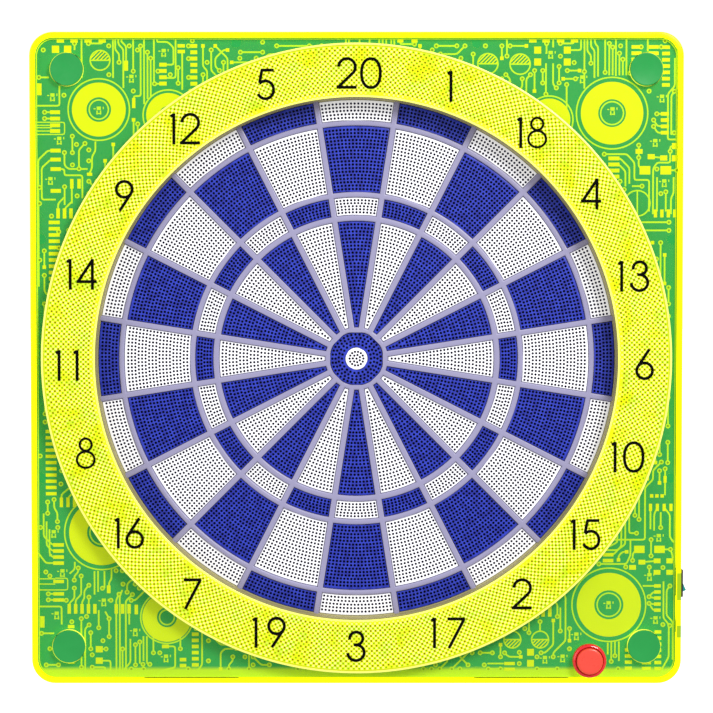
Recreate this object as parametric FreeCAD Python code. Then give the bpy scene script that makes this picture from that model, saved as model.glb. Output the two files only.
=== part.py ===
import math
import os

import FreeCAD
import Part

# Electronic dartboard. Millimetres. The origin is the middle of the back face, on the wall plane.
# +Z is up, +X is to the right of a player looking at the target, and -Y points at the player.
# A plane of the object is named by its y value, so the front of the case has the lowest one.

# ---- case ----
case_side = 495.0
case_corner_radius = 18.0
wall = 4.0
front_y = -55.0
plate_back_y = front_y + 4.0
film_front_y = plate_back_y + 0.2
film_back_y = film_front_y + 0.4
chassis_front_y = film_back_y + 0.1
chassis_back_y = chassis_front_y + 2.5
cover_plate_y = -3.0
inner_side = case_side - 2 * wall
inner_corner_radius = case_corner_radius - wall
loose = 0.3
front_edge_round = 1.2
screw_clearance = 1.7
stiffener_inset = 12.0
stiffener_height = 8.0
stiffener_spans = ((-205.0, -100.0), (100.0, 155.0))

# ---- target ----
sector_order = [20, 1, 18, 4, 13, 6, 10, 15, 2, 17, 3, 19, 7, 16, 8, 11, 14, 9, 12, 5]
sector_step = 360.0 / len(sector_order)
key_rings = {
    "double": (181.6, 196.85),
    "outer_single": (127.4, 177.0),
    "triple": (109.7, 122.7),
    "inner_single": (24.3, 104.6),
}
bull_radii = (8.4, 20.1)
key_gap = 0.35
rib_width = 4.2
rib_front_y = -46.0
rib_back_y = -35.0
key_front_y = -44.5
key_back_y = -33.0
tab_thickness = 1.6
tab_reach = 1.2
tab_width = 5.0
opening_radius = 201.0
flange_radius = 212.0
flange_front_y = chassis_back_y + 0.2
flange_thickness = 3.0
flange_back_y = flange_front_y + flange_thickness
post_circle_radius = 208.0
post_count = 10

# ---- sensor stack behind the keys ----
sheet_radius = 203.5
rubber_front_y = -31.5
rubber_thickness = 2.0
film_thickness = 0.2
film_step = 0.3
backing_front_y = -28.5
backing_thickness = 6.0

# ---- number ring ----
ring_inner_radius = 198.0
ring_outer_radius = 238.6
ring_front_y = front_y - 8.0
ring_skin = 2.5
ring_sleeve = 2.0
ring_screw_circle = 219.0
ring_screw_count = 10

# ---- corners and edge posts ----
corner_offset = 219.3
cap_radius = 12.3
cap_hole_radius = 12.7
corner_post_radius = 9.5
corner_post_bore = 7.0
wall_screw_radius = 2.6
counterbore_depth = 1.8
edge_post_offset = 91.0
edge_post_radius = 3.9
edge_post_depth = 239.8
edge_post_tip_y = -9.5

# ---- push button ----
button_x = 177.5
button_z = -230.0
button_flange_radius = 13.0
button_barrel_radius = 11.9
button_hole_radius = 12.2
button_bore_radius = 10.4
button_cap_radius = 10.0
button_cap_front_y = front_y - 6.6
button_floor_y = -38.0
spring_wire_radius = 0.4
spring_coil_radius = 5.0
spring_turns = 7
spring_arcs_in_a_turn = 3

# ---- power switch on the right wall ----
rocker_y = -28.0
rocker_z = -173.5
bezel_height = 21.0
bezel_width = 15.0
bezel_thickness = 4.0
rocker_body_height = 18.6
rocker_body_width = 12.6
rocker_rest_degrees = 12.0
rocker_cavity_half = 7.75
rocker_half_width = 5.1
rocker_slot_half_width = 6.5
rocker_slot_half_height = 9.5
rocker_pin_radius = 1.2
bezel_x = case_side / 2 + bezel_thickness
rocker_pivot_x = bezel_x - 2.0

# ---- power inlet on the right wall ----
inlet_y = -28.0
inlet_z = -207.7
inlet_board_back_y = -25.2
inlet_board_thickness = 1.2
inlet_board_screw_places = ((233.0, inlet_z - 4.6), (233.0, inlet_z + 4.6))

# ---- feet under the bottom wall ----
foot_pad_span = (91.0, 164.0)
foot_pad_depth = (-45.0, -10.0)
foot_pad_height = 1.2

# ---- rear cover: hanging holes and posts ----
keyhole_places = (-120.0, 120.0)
keyhole_z = 150.0
keyhole_entry_radius = 5.0
keyhole_slot_half = 2.5
keyhole_rise = 12.0
cover_rim_depth = 6.0
cover_rim_thickness = 2.0
cover_ribs_z = (20.0, 60.0, 100.0)
cover_rib_spans = ((-190.0, -10.0), (10.0, 190.0))

# ---- electronics in the rear cover ----
speaker_x = -70.0
speaker_z = -120.0
speaker_radius = 25.0
speaker_slot_count = 7
speaker_slot_pitch = 6.0
speaker_slot_reach = 22.0
board_x = 60.0
board_z = -140.0
board_width = 110.0
board_height = 70.0
board_front_y = -12.0
board_thickness = 1.6
board_hole_inset = 5.0
ribbon_x = 34.0
ribbon_width = 34.0
ribbon_thickness = 0.25
ribbon_turn_z = -214.5
ribbon_front = rubber_front_y + rubber_thickness + 0.1
ribbon_plug_z = board_z - 24.0
battery_x = (-75.0, -5.0)
battery_z = (-55.0, -15.0)
battery_front_y = -12.0
lead_radius = 0.7


def vec(x, y, z):
    return FreeCAD.Vector(x, y, z)


def box(x0, x1, y0, y1, z0, z1):
    return Part.makeBox(x1 - x0, y1 - y0, z1 - z0, vec(x0, y0, z0))


def disc(radius, y0, y1, x=0.0, z=0.0):
    return Part.makeCylinder(radius, y1 - y0, vec(x, y0, z), vec(0, 1, 0))


def tube(inner, outer, y0, y1, x=0.0, z=0.0):
    return disc(outer, y0, y1, x, z).cut(disc(inner, y0 - 1, y1 + 1, x, z))


def rounded_square(side, radius, y0, y1):
    solid = box(-side / 2, side / 2, y0, y1, -side / 2, side / 2)
    upright = [e for e in solid.Edges if abs(e.tangentAt(e.FirstParameter).y) > 0.9]
    return solid.makeFillet(radius, upright)


def at(radius, degrees, y=0.0):
    a = math.radians(degrees)
    return vec(radius * math.cos(a), y, radius * math.sin(a))


def around(count, radius, start=0.0):
    return [at(radius, start + 360.0 * i / count) for i in range(count)]


def fuse(solids):
    joined = solids[0]
    for solid in solids[1:]:
        joined = joined.fuse(solid)
    return joined.removeSplitter()


def cut_all(solid, tools):
    for tool in tools:
        solid = solid.cut(tool)
    return solid


def group(solids):
    return Part.makeCompound(solids)


def four_corners(offset):
    return [(sx * offset, sz * offset) for sx in (-1, 1) for sz in (-1, 1)]


def edge_posts():
    """Centres of the eight posts along the walls, two on each."""
    places = []
    for along in (-edge_post_offset, edge_post_offset):
        for across in (-edge_post_depth, edge_post_depth):
            places.append((along, across))
            places.append((across, along))
    return places


def screw(x, z, head_y, tip_y, shank, head, head_height):
    """A pan head screw driven towards the tip, along Y."""
    low, high = sorted((head_y, tip_y))
    away = 1 if head_y > tip_y else -1
    head_low, head_high = sorted((head_y, head_y + away * head_height))
    body = disc(shank, low, high, x, z).fuse(disc(head, head_low, head_high, x, z))
    slot_low, slot_high = sorted((head_y + away * head_height * 0.5, head_y + away * (head_height + 1)))
    slot = box(x - head, x + head, slot_low, slot_high, z - 0.3, z + 0.3)
    return body.cut(slot)


def wire(points, radius):
    """A lead along straight runs joined by tangent arcs, each as large as its two runs allow."""
    edges = []
    start = points[0]
    for i in range(1, len(points) - 1):
        before, corner, after = points[i - 1], points[i], points[i + 1]
        to_start = (before - corner).normalize()
        to_end = (after - corner).normalize()
        turn = math.pi - to_start.getAngle(to_end)
        reach = 0.45 * min((before - corner).Length, (after - corner).Length)
        arc_radius = reach / math.tan(turn / 2)
        first = corner + to_start * reach
        last = corner + to_end * reach
        middle_way = (to_start + to_end).normalize()
        centre = corner + middle_way * (arc_radius / math.cos(turn / 2))
        edges.append(Part.LineSegment(start, first).toShape())
        edges.append(Part.Arc(first, centre - middle_way * arc_radius, last).toShape())
        start = last
    edges.append(Part.LineSegment(start, points[-1]).toShape())
    path = Part.Wire(edges)
    along = (points[1] - points[0]).normalize()
    section = Part.Wire([Part.makeCircle(radius, points[0], along)])
    return path.makePipeShell([section], True, False)


# ---- case parts ----


def make_front_cover():
    outside = rounded_square(case_side, case_corner_radius, front_y, 0)
    rim = [e for e in outside.Edges if e.BoundBox.YMax < front_y + 0.01]
    outside = outside.makeFillet(front_edge_round, rim)
    cavity = rounded_square(inner_side, inner_corner_radius, plate_back_y, 1)
    cover = outside.cut(cavity)
    tools = [disc(opening_radius, front_y - 1, plate_back_y + 1)]
    for x, z in four_corners(corner_offset):
        tools.append(disc(cap_hole_radius, front_y - 1, plate_back_y + 1, x, z))
    for place in around(ring_screw_count, ring_screw_circle):
        tools.append(disc(screw_clearance, front_y - 1, plate_back_y + 1, place.x, place.z))
    tools.append(disc(button_hole_radius, front_y - 1, plate_back_y + 1, button_x, button_z))
    side = case_side / 2
    in_x = side - wall - 1
    across, along = rocker_slot_half_width, rocker_slot_half_height
    tools.append(
        box(in_x, side + 1, rocker_y - across, rocker_y + across, rocker_z - along, rocker_z + along)
    )
    tools.append(box(in_x, side + 1, inlet_y - 1.9, inlet_y + 1.9, inlet_z - 4.7, inlet_z + 4.7))
    posts = []
    pilots = []
    for x, z in edge_posts():
        posts.append(disc(edge_post_radius, plate_back_y - 0.5, edge_post_tip_y, x, z))
        pilots.append(disc(1.3, edge_post_tip_y - 14, edge_post_tip_y + 1, x, z))
    return cut_all(fuse([cut_all(cover, tools)] + posts), pilots)


def film_openings(y0, y1, grow):
    tools = [disc(cap_hole_radius + grow, y0, y1, x, z) for x, z in four_corners(corner_offset)]
    tools += [disc(edge_post_radius + 0.3, y0, y1, x, z) for x, z in edge_posts()]
    for place in around(ring_screw_count, ring_screw_circle):
        tools.append(disc(screw_clearance, y0, y1, place.x, place.z))
    tools.append(disc(button_hole_radius + 0.2 + grow, y0, y1, button_x, button_z))
    return tools


def make_artwork_film():
    film = rounded_square(inner_side - 2, inner_corner_radius - 1, film_front_y, film_back_y)
    tools = [disc(opening_radius, film_front_y - 1, film_back_y + 1)]
    return cut_all(film, tools + film_openings(film_front_y - 1, film_back_y + 1, 0.0))


def make_chassis_frame():
    side = inner_side - 2 * loose
    plate = rounded_square(side, inner_corner_radius - loose, chassis_front_y, chassis_back_y)
    rib_front = chassis_back_y - 0.2
    stiffeners = []
    rib_back = chassis_back_y + stiffener_height
    reach = inner_side / 2 - stiffener_inset
    for sign in (-1, 1):
        for low, high in stiffener_spans:
            near, far = sorted((sign * (reach - 2), sign * reach))
            stiffeners.append(box(near, far, rib_front, rib_back, low, high))
            stiffeners.append(box(low + 10, high, rib_front, rib_back, near, far))
    plate = fuse([plate] + stiffeners)
    tools = [disc(opening_radius + 1.5, chassis_front_y - 1, rib_back + 1)]
    for place in around(post_count, post_circle_radius, 180.0 / post_count):
        tools.append(disc(1.4, chassis_front_y - 1, chassis_back_y + 1, place.x, place.z))
    return cut_all(plate, tools + film_openings(chassis_front_y - 1, rib_back + 1, 0.2))


def make_number_ring():
    ring = tube(ring_inner_radius, ring_outer_radius, ring_front_y, front_y)
    edges = [e for e in ring.Edges if abs(e.BoundBox.YMax - ring_front_y) < 0.01]
    ring = ring.makeFillet(1.0, edges)
    near, far = ring_inner_radius + ring_sleeve, ring_outer_radius - ring_sleeve
    channel = tube(near, far, ring_front_y + ring_skin, front_y + 1)
    ring = ring.cut(channel)
    sleeve = tube(ring_inner_radius, opening_radius - 0.6, front_y - 1, flange_front_y - 0.3)
    parts = [ring, sleeve]
    for place in around(ring_screw_count, ring_screw_circle):
        boss = disc(4.0, ring_front_y + ring_skin - 0.5, front_y, place.x, place.z)
        parts.append(boss)
    ring = fuse(parts)
    pilots = []
    for place in around(ring_screw_count, ring_screw_circle):
        pilots.append(disc(1.45, front_y - 4.5, front_y + 1, place.x, place.z))
    return cut_all(ring, pilots)


def make_number_ring_screws():
    places = around(ring_screw_count, ring_screw_circle)
    return group([screw(p.x, p.z, chassis_back_y, front_y - 4.0, 1.4, 3.0, 1.8) for p in places])


def rear_cover_opening_tools():
    """Keyholes, wall-screw holes, cover-screw holes and speaker slots."""
    tools = []
    for x in keyhole_places:
        tools.append(disc(keyhole_entry_radius, -4, 1, x, keyhole_z))
        left, right = x - keyhole_slot_half, x + keyhole_slot_half
        tools.append(box(left, right, -4, 1, keyhole_z, keyhole_z + keyhole_rise))
        tools.append(disc(keyhole_slot_half, -4, 1, x, keyhole_z + keyhole_rise))
    for x, z in four_corners(corner_offset):
        tools.append(disc(wall_screw_radius, -4, 1, x, z))
        tools.append(disc(corner_post_bore, -60, cover_plate_y, x, z))
    for x, z in edge_posts():
        tools.append(disc(screw_clearance, -10, 1, x, z))
        tools.append(disc(2.7, -counterbore_depth, 1, x, z))
    for i in range(speaker_slot_count):
        z = speaker_z + (i - speaker_slot_count // 2) * speaker_slot_pitch
        half = math.sqrt(speaker_slot_reach ** 2 - (z - speaker_z) ** 2)
        tools.append(box(speaker_x - half, speaker_x + half, -4, 1, z - 1.2, z + 1.2))
    return tools


def board_corners():
    half_w = board_width / 2 - board_hole_inset
    half_h = board_height / 2 - board_hole_inset
    return [(board_x + sx * half_w, board_z + sz * half_h) for sx in (-1, 1) for sz in (-1, 1)]


def make_rear_cover():
    side = inner_side - 2 * loose
    plate = rounded_square(side, inner_corner_radius - loose, cover_plate_y, 0)
    rim_front = cover_plate_y - cover_rim_depth
    rim = rounded_square(side, inner_corner_radius - loose, rim_front, cover_plate_y + 0.5)
    thick = cover_rim_thickness
    hollow = rounded_square(
        side - 2 * thick, inner_corner_radius - loose - thick, rim_front - 1, cover_plate_y + 1
    )
    parts = [plate, rim.cut(hollow)]
    for x, z in four_corners(corner_offset):
        parts.append(disc(corner_post_radius, chassis_back_y + 0.3, cover_plate_y + 0.5, x, z))
    for x, z in edge_posts():
        parts.append(disc(3.3, -9.2, cover_plate_y + 0.5, x, z))
    for x, z in board_corners():
        parts.append(disc(3.5, board_front_y + board_thickness, cover_plate_y + 0.5, x, z))
    for x, z in inlet_board_screw_places:
        parts.append(disc(2.4, inlet_board_back_y, cover_plate_y + 0.5, x, z))
    for z in cover_ribs_z:
        for low, high in cover_rib_spans:
            parts.append(box(low, high, cover_plate_y - 5, cover_plate_y + 0.5, z - 1, z + 1))
    cover = fuse(parts)
    tools = rear_cover_opening_tools()
    for x, z in board_corners():
        tools.append(disc(1.3, -11, -5, x, z))
    for x, z in inlet_board_screw_places:
        tools.append(disc(0.9, inlet_board_back_y - 1, inlet_board_back_y + 7, x, z))
    return cut_all(cover, tools)


def make_rear_cover_screws():
    return group([screw(x, z, -counterbore_depth, -21.0, 1.25, 2.5, 1.6) for x, z in edge_posts()])


def make_corner_caps():
    caps = []
    for x, z in four_corners(corner_offset):
        head = disc(cap_radius, front_y - 0.3, front_y + 2.2, x, z)
        head = head.makeFillet(0.25, [e for e in head.Edges if e.BoundBox.YMax < front_y])
        stem = tube(5.2, corner_post_bore - 0.2, front_y + 2.0, chassis_back_y + 7, x, z)
        caps.append(head.fuse(stem))
    return group(caps)


def make_foot_pads():
    pads = []
    bottom = -case_side / 2
    for sign in (-1, 1):
        low, high = sorted(sign * x for x in foot_pad_span)
        front, back = foot_pad_depth
        pad = box(low, high, front, back, bottom - foot_pad_height, bottom)
        pads.append(pad.makeFillet(0.5, [e for e in pad.Edges if e.BoundBox.ZMax < bottom - 1.1]))
    return group(pads)


# ---- target parts ----


def key_prism(inner, outer, centre, y0, y1, gap):
    """A block between two circles and the two ribs beside the sector's centre line."""
    offset = rib_width / 2 + gap

    def corner(radius, sign):
        lean = math.degrees(math.asin(offset / radius))
        return at(radius, centre + sign * (sector_step / 2 - lean), y0)

    edges = [
        Part.LineSegment(corner(inner, -1), corner(outer, -1)).toShape(),
        Part.Arc(corner(outer, -1), at(outer, centre, y0), corner(outer, 1)).toShape(),
        Part.LineSegment(corner(outer, 1), corner(inner, 1)).toShape(),
        Part.Arc(corner(inner, 1), at(inner, centre, y0), corner(inner, -1)).toShape(),
    ]
    return Part.Face(Part.Wire(edges)).extrude(vec(0, y1 - y0, 0))


def make_key(inner, outer, centre):
    """One scoring key: a block with two tabs that catch behind the spider's ring walls."""
    body = key_prism(inner, outer, centre, key_front_y, key_back_y, key_gap)
    low = inner - tab_reach
    high = outer + tab_reach
    half = tab_width / 2
    y0 = key_back_y - tab_thickness
    if inner < 30:
        low = inner + 8.0
    tabs = box(low, high, y0, key_back_y, -half, half)
    tabs.rotate(vec(0, 0, 0), vec(0, 1, 0), -centre)
    return body.fuse(tabs).removeSplitter()


def sector_centre(index):
    return 90.0 - sector_step * index


def make_sector(index):
    centre = sector_centre(index)
    return group([make_key(inner, outer, centre) for inner, outer in key_rings.values()])


def make_bull_inner():
    return disc(bull_radii[0], key_front_y, key_back_y)


def make_bull_outer():
    bull = tube(bull_radii[0] + key_gap, bull_radii[1], key_front_y, key_back_y)
    tabs = []
    for place in (45, 135, 225, 315):
        near, far = bull_radii[1] - 2, bull_radii[1] + tab_reach
        tab = box(near, far, key_back_y - tab_thickness, key_back_y, -tab_width / 2, tab_width / 2)
        tab.rotate(vec(0, 0, 0), vec(0, 1, 0), place)
        tabs.append(tab)
    return fuse([bull] + tabs)


def make_spider():
    radii = sorted(key_rings.values())
    walls = [(bull_radii[1], radii[0][0])]
    walls += [(radii[i][1], radii[i + 1][0]) for i in range(3)]
    parts = [tube(low + key_gap, high - key_gap, rib_front_y, rib_back_y) for low, high in walls]
    rim_inner = radii[3][1] + key_gap
    parts.append(tube(rim_inner, rim_inner + 4, flange_front_y, rubber_front_y - 0.1))
    parts.append(tube(rim_inner, flange_radius, flange_front_y, flange_back_y))
    hub = bull_radii[1] + key_gap + 1
    for index in range(len(sector_order)):
        rib = box(hub, rim_inner + 1, rib_front_y, rib_back_y, -rib_width / 2, rib_width / 2)
        rib.rotate(vec(0, 0, 0), vec(0, 1, 0), -(sector_centre(index) + sector_step / 2))
        parts.append(rib)
    for place in around(post_count, post_circle_radius):
        parts.append(disc(3.6, flange_front_y + 1, backing_front_y - 0.1, place.x, place.z))
    spider = fuse(parts)
    tab_room = disc(rim_inner + tab_reach + 0.2, rib_back_y, rubber_front_y + 1)
    spider = spider.cut(tab_room.cut(disc(rim_inner - 1, rib_back_y - 1, rubber_front_y + 2)))
    tools = []
    for place in around(post_count, post_circle_radius):
        tools.append(disc(1.5, -44.0, backing_front_y + 1, place.x, place.z))
    for place in around(post_count, post_circle_radius, 180.0 / post_count):
        tools.append(disc(screw_clearance, flange_front_y - 1, flange_back_y + 1, place.x, place.z))
    return cut_all(spider, tools)


def make_spider_screws():
    places = around(post_count, post_circle_radius, 180.0 / post_count)
    tip_y = chassis_front_y + 0.4
    return group([screw(p.x, p.z, flange_back_y, tip_y, 1.35, 3.0, 1.8) for p in places])


def make_sheet(front, thickness):
    return disc(sheet_radius, front, front + thickness)


def make_backing_plate():
    back = backing_front_y + backing_thickness
    plate = disc(flange_radius, backing_front_y, back)
    tools = []
    for place in around(post_count, post_circle_radius):
        tools.append(disc(1.8, backing_front_y - 1, back + 1, place.x, place.z))
    return cut_all(plate, tools)


def make_backing_screws():
    head_y = backing_front_y + backing_thickness
    places = around(post_count, post_circle_radius)
    return group([screw(p.x, p.z, head_y, -42.0, 1.45, 3.2, 2.0) for p in places])


# ---- electronics ----


def make_control_board():
    half_w = board_width / 2
    half_h = board_height / 2
    y1 = board_front_y + board_thickness
    board = box(board_x - half_w, board_x + half_w, board_front_y, y1, board_z - half_h, board_z + half_h)
    return cut_all(board, [disc(1.6, board_front_y - 1, y1 + 1, x, z) for x, z in board_corners()])


def make_control_board_parts():
    def block(x, z, width, height, tall):
        front = board_front_y - tall
        return box(x - width / 2, x + width / 2, front, board_front_y, z - height / 2, z + height / 2)

    parts = [block(board_x - 12, board_z - 4, 14, 14, 1.8), block(board_x + 22, board_z + 14, 9, 7, 1.5)]
    parts += [block(board_x - 34, board_z + z, 5, 3, 1.2) for z in (-20, -12, -4, 4, 12)]
    parts += [block(board_x + 8 + i * 6, board_z - 24, 3.2, 1.8, 0.9) for i in range(6)]
    parts += [disc(3.1, board_front_y - 7.5, board_front_y, board_x + x, board_z + 4) for x in (30, 40)]
    parts.append(block(board_x + 6, board_z + 4, 9, 4, 2.2))
    return group(parts)


def make_control_board_screws():
    return group([screw(x, z, board_front_y, -6.0, 1.2, 2.8, 1.6) for x, z in board_corners()])


def make_ribbon_tail():
    """The membrane's tail: out past the backing plate's edge, round it, and up to the board."""
    low_z = ribbon_turn_z
    x0 = ribbon_x - ribbon_width / 2
    x1 = ribbon_x + ribbon_width / 2
    thick = ribbon_thickness
    back = board_front_y - 3.0
    first = box(x0, x1, ribbon_front, ribbon_front + thick, low_z, -195.0).cut(
        disc(sheet_radius + 0.05, -40, -20)
    )
    down = box(x0, x1, ribbon_front, back + thick, low_z - thick, low_z)
    last = box(x0, x1, back, back + thick, low_z, ribbon_plug_z - 3.0)
    return fuse([first, down, last])


def make_ribbon_connector():
    z = ribbon_plug_z
    x0 = ribbon_x - ribbon_width / 2 - 2
    x1 = ribbon_x + ribbon_width / 2 + 2
    body = box(x0, x1, board_front_y - 5.0, board_front_y, z - 5.0, z)
    mouth = box(x0 + 1.7, x1 - 1.7, board_front_y - 3.4, board_front_y - 2.4, z - 6.0, z - 2.5)
    return body.cut(mouth)


def make_speaker_frame():
    flange = disc(speaker_radius, -5.0, cover_plate_y - 0.2, speaker_x, speaker_z)
    basket = Part.makeCone(speaker_radius - 2, 14.0, 8.0, vec(speaker_x, -5.0, speaker_z), vec(0, -1, 0))
    magnet = disc(14.5, -18.0, -12.9, speaker_x, speaker_z)
    frame = fuse([flange, basket, magnet])
    hollow = Part.makeCone(speaker_radius - 3, 12.0, 8.5, vec(speaker_x, -3.5, speaker_z), vec(0, -1, 0))
    mouth = disc(speaker_radius - 3, -3.6, -3.0, speaker_x, speaker_z)
    return cut_all(frame, [hollow, mouth])


def make_speaker_cone():
    outer = Part.makeCone(speaker_radius - 3.4, 11.0, 6.0, vec(speaker_x, -3.7, speaker_z), vec(0, -1, 0))
    inner = Part.makeCone(speaker_radius - 4.2, 10.2, 6.0, vec(speaker_x, -3.2, speaker_z), vec(0, -1, 0))
    dome = disc(10.6, -9.7, -9.0, speaker_x, speaker_z)
    return fuse([outer.cut(inner), dome])


def make_battery_pack():
    pack = box(*battery_x, battery_front_y, cover_plate_y - 0.1, *battery_z)
    upright = [e for e in pack.Edges if abs(e.tangentAt(e.FirstParameter).z) > 0.9]
    return pack.makeFillet(2.5, upright)


def make_charge_board():
    back = inlet_board_back_y
    front = back - inlet_board_thickness
    board = box(230.0, 243.0, front, back, inlet_z - 7.25, inlet_z + 7.25)
    return cut_all(board, [disc(1.2, front - 1, back + 1, x, z) for x, z in inlet_board_screw_places])


def make_charge_board_screws():
    head_y = inlet_board_back_y - inlet_board_thickness
    return group([screw(x, z, head_y, -20.0, 0.85, 1.9, 1.1) for x, z in inlet_board_screw_places])


def make_charge_socket():
    """A flat oval metal shell with a tongue in the middle."""
    back = inlet_board_back_y - inlet_board_thickness
    middle = back - 1.6

    def oval(length, height, x0, x1):
        across, along = height / 2, length / 2
        flat = box(x0, x1, middle - across, middle + across, inlet_z - along, inlet_z + along)
        return flat.makeFillet(height * 0.45, [e for e in flat.Edges if abs(e.tangentAt(0).x) > 0.9])

    shell = oval(8.9, 3.2, 236.5, 246.8).cut(oval(8.3, 2.6, 238.0, 248.0))
    tongue = box(237.5, 243.5, middle - 0.35, middle + 0.35, inlet_z - 3.3, inlet_z + 3.3)
    return fuse([shell, tongue])


# ---- push button ----


def make_button_body():
    flange = disc(button_flange_radius, front_y - 3.6, front_y, button_x, button_z)
    front_edge = [e for e in flange.Edges if e.BoundBox.YMax < front_y - 3.5]
    flange = flange.makeFillet(1.8, front_edge)
    barrel = disc(button_barrel_radius, front_y - 1, -26.6, button_x, button_z)
    clips = []
    for sign in (-1, 1):
        near, far = sorted((button_x + sign * 11.0, button_x + sign * 12.9))
        clip = box(near, far, chassis_back_y + 0.2, chassis_back_y + 5, button_z - 2, button_z + 2)
        clips.append(clip)
    body = fuse([flange, barrel] + clips)
    return cut_all(body, [
        disc(button_bore_radius, front_y - 5, button_floor_y, button_x, button_z),
        disc(2.6, -39.0, -35.0, button_x, button_z),
        disc(button_bore_radius, -36.0, -26.0, button_x, button_z),
    ])


def make_button_cap():
    skirt = disc(button_cap_radius, button_cap_front_y, -50.0, button_x, button_z)
    skirt = skirt.makeFillet(1.2, [e for e in skirt.Edges if e.BoundBox.YMax < button_cap_front_y + 0.1])
    hollow = disc(button_cap_radius - 1.5, button_cap_front_y + 2.6, -49.0, button_x, button_z)
    stem = disc(2.2, button_cap_front_y + 2.0, -30.4, button_x, button_z)
    return fuse([skirt.cut(hollow), stem])


def make_button_spring():
    """A coil spring round the cap's stem, from arcs of part of a turn."""
    top = button_cap_front_y + 2.6 + spring_wire_radius + 0.05
    bottom = button_floor_y - spring_wire_radius - 0.05

    def on_coil(turn):
        place = at(spring_coil_radius, 360.0 * turn, top + (bottom - top) * turn / spring_turns)
        return place + vec(button_x, 0, button_z)

    arcs = []
    for i in range(spring_turns * spring_arcs_in_a_turn):
        stations = [on_coil((i + step) / spring_arcs_in_a_turn) for step in (0.0, 0.5, 1.0)]
        arcs.append(Part.Arc(*stations).toShape())
    along = arcs[0].tangentAt(arcs[0].FirstParameter)
    section = Part.Wire([Part.makeCircle(spring_wire_radius, on_coil(0), along)])
    return Part.Wire(arcs).makePipeShell([section], True, False)


def make_button_switch():
    plate = box(button_x - 11.5, button_x + 11.5, -26.5, -25.0, button_z - 6, button_z + 6)
    body = box(button_x - 6.4, button_x + 6.4, -25.2, -18.5, button_z - 3, button_z + 3)
    actuator = disc(1.2, -27.1, -26.0, button_x, button_z)
    blades = []
    for x in (button_x - 5, button_x + 5):
        blades.append(box(x - 0.3, x + 0.3, -18.6, -15.0, button_z - 1, button_z + 1))
    return fuse([plate, body, actuator] + blades)


# ---- power switch ----


def make_rocker_housing():
    def block(x0, x1, width, height):
        half_w, half_h = width / 2, height / 2
        return box(x0, x1, rocker_y - half_w, rocker_y + half_w, rocker_z - half_h, rocker_z + half_h)

    bezel = block(case_side / 2, bezel_x, bezel_width, bezel_height)
    bezel = bezel.makeFillet(0.5, [e for e in bezel.Edges if e.BoundBox.XMin > bezel_x - 0.1])
    body = block(230.0, case_side / 2 + 0.5, rocker_body_width, rocker_body_height)
    cavity = block(237.5, bezel_x + 1, 2 * rocker_half_width + 0.6, 2 * rocker_cavity_half)
    start = vec(rocker_pivot_x, rocker_y - rocker_body_width / 2, rocker_z)
    pivot_hole = Part.makeCylinder(rocker_pin_radius + 0.06, rocker_body_width, start, vec(0, 1, 0))
    return cut_all(fuse([bezel, body]), [cavity, pivot_hole])


def make_rocker_lever():
    """A concave rocker, drawn level about its pivot and then tipped to its rest angle."""
    slope = math.tan(math.radians(rocker_rest_degrees))
    face = 2.0
    tip = 6.4
    points = [
        (face, 0.0), (face + tip * slope, tip), (0.2, 7.2), (-3.2, 5.6),
        (-4.6, 0.0),
        (-3.2, -5.6), (0.2, -7.2), (face + tip * slope, -tip),
    ]
    loop = [vec(rocker_pivot_x + u, rocker_y - rocker_half_width, rocker_z - s) for u, s in points]
    lever = Part.Face(Part.makePolygon(loop + [loop[0]])).extrude(vec(0, 2 * rocker_half_width, 0))
    pin_reach = rocker_body_width / 2 - 0.1
    start = vec(rocker_pivot_x, rocker_y - pin_reach, rocker_z)
    lever = lever.fuse(Part.makeCylinder(rocker_pin_radius, 2 * pin_reach, start, vec(0, 1, 0)))
    lever.rotate(vec(rocker_pivot_x, rocker_y, rocker_z), vec(0, 1, 0), -rocker_rest_degrees)
    return lever


def make_rocker_terminals():
    blades = []
    for z in (rocker_z - 5, rocker_z + 5):
        blades.append(box(222.0, 230.0, rocker_y - 2.4, rocker_y + 2.4, z - 0.4, z + 0.4))
    return group(blades)


# ---- leads ----


def make_button_wires():
    """Two leads from the button's switch to the lower edge of the board."""
    leads = []
    for i, x in enumerate((-5.0, 5.0)):
        end_x = board_x + 42.0 + i * 4.0
        leads.append(wire([
            vec(button_x + x, -15.0, button_z),
            vec(button_x + x, -9.5, button_z),
            vec(button_x + x - 30, -7.0 - i * 2.0, button_z + 6),
            vec(end_x + 18, -7.5 - i * 2.0, button_z + 22),
            vec(end_x, -8.0 - i, board_z - 46.0),
            vec(end_x, -8.6, board_z - 33.0),
        ], lead_radius))
    return group(leads)


def make_rocker_wires():
    """Two leads from the power switch to the right edge of the board."""
    leads = []
    for i, z in enumerate((-5.0, 5.0)):
        end_z = board_z - 8.0 + i * 5.0
        leads.append(wire([
            vec(222.0, rocker_y, rocker_z + z),
            vec(210.0, rocker_y, rocker_z + z),
            vec(190.0, -18.0, rocker_z + z + 8),
            vec(160.0, -9.5, end_z - 8),
            vec(135.0, -8.3, end_z),
            vec(board_x + board_width / 2 - 3, -8.6, end_z + 2),
        ], lead_radius))
    return group(leads)


def make_battery_wires():
    """Two leads from the battery to the left edge of the board."""
    leads = []
    for i in range(2):
        start_x = -20.0 + i * 4.0
        end_z = board_z + 10.0 + i * 5.0
        leads.append(wire([
            vec(start_x, -7.5, -55.0),
            vec(start_x, -7.5, -66.0 - i * 4),
            vec(start_x + 6, -8.4, -88.0 - i * 3),
            vec(-4.0, -8.3, end_z + 14),
            vec(-2.0 + i * 2, -8.2, end_z + 3),
            vec(8.0, -8.6, end_z),
        ], lead_radius))
    return group(leads)


def save(name, shape):
    if not shape.isValid():
        print("INVALID", name)
    shape.exportStep("parts/" + name + ".step")
    print(name, len(shape.Solids), round(shape.Volume, 1))


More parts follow.
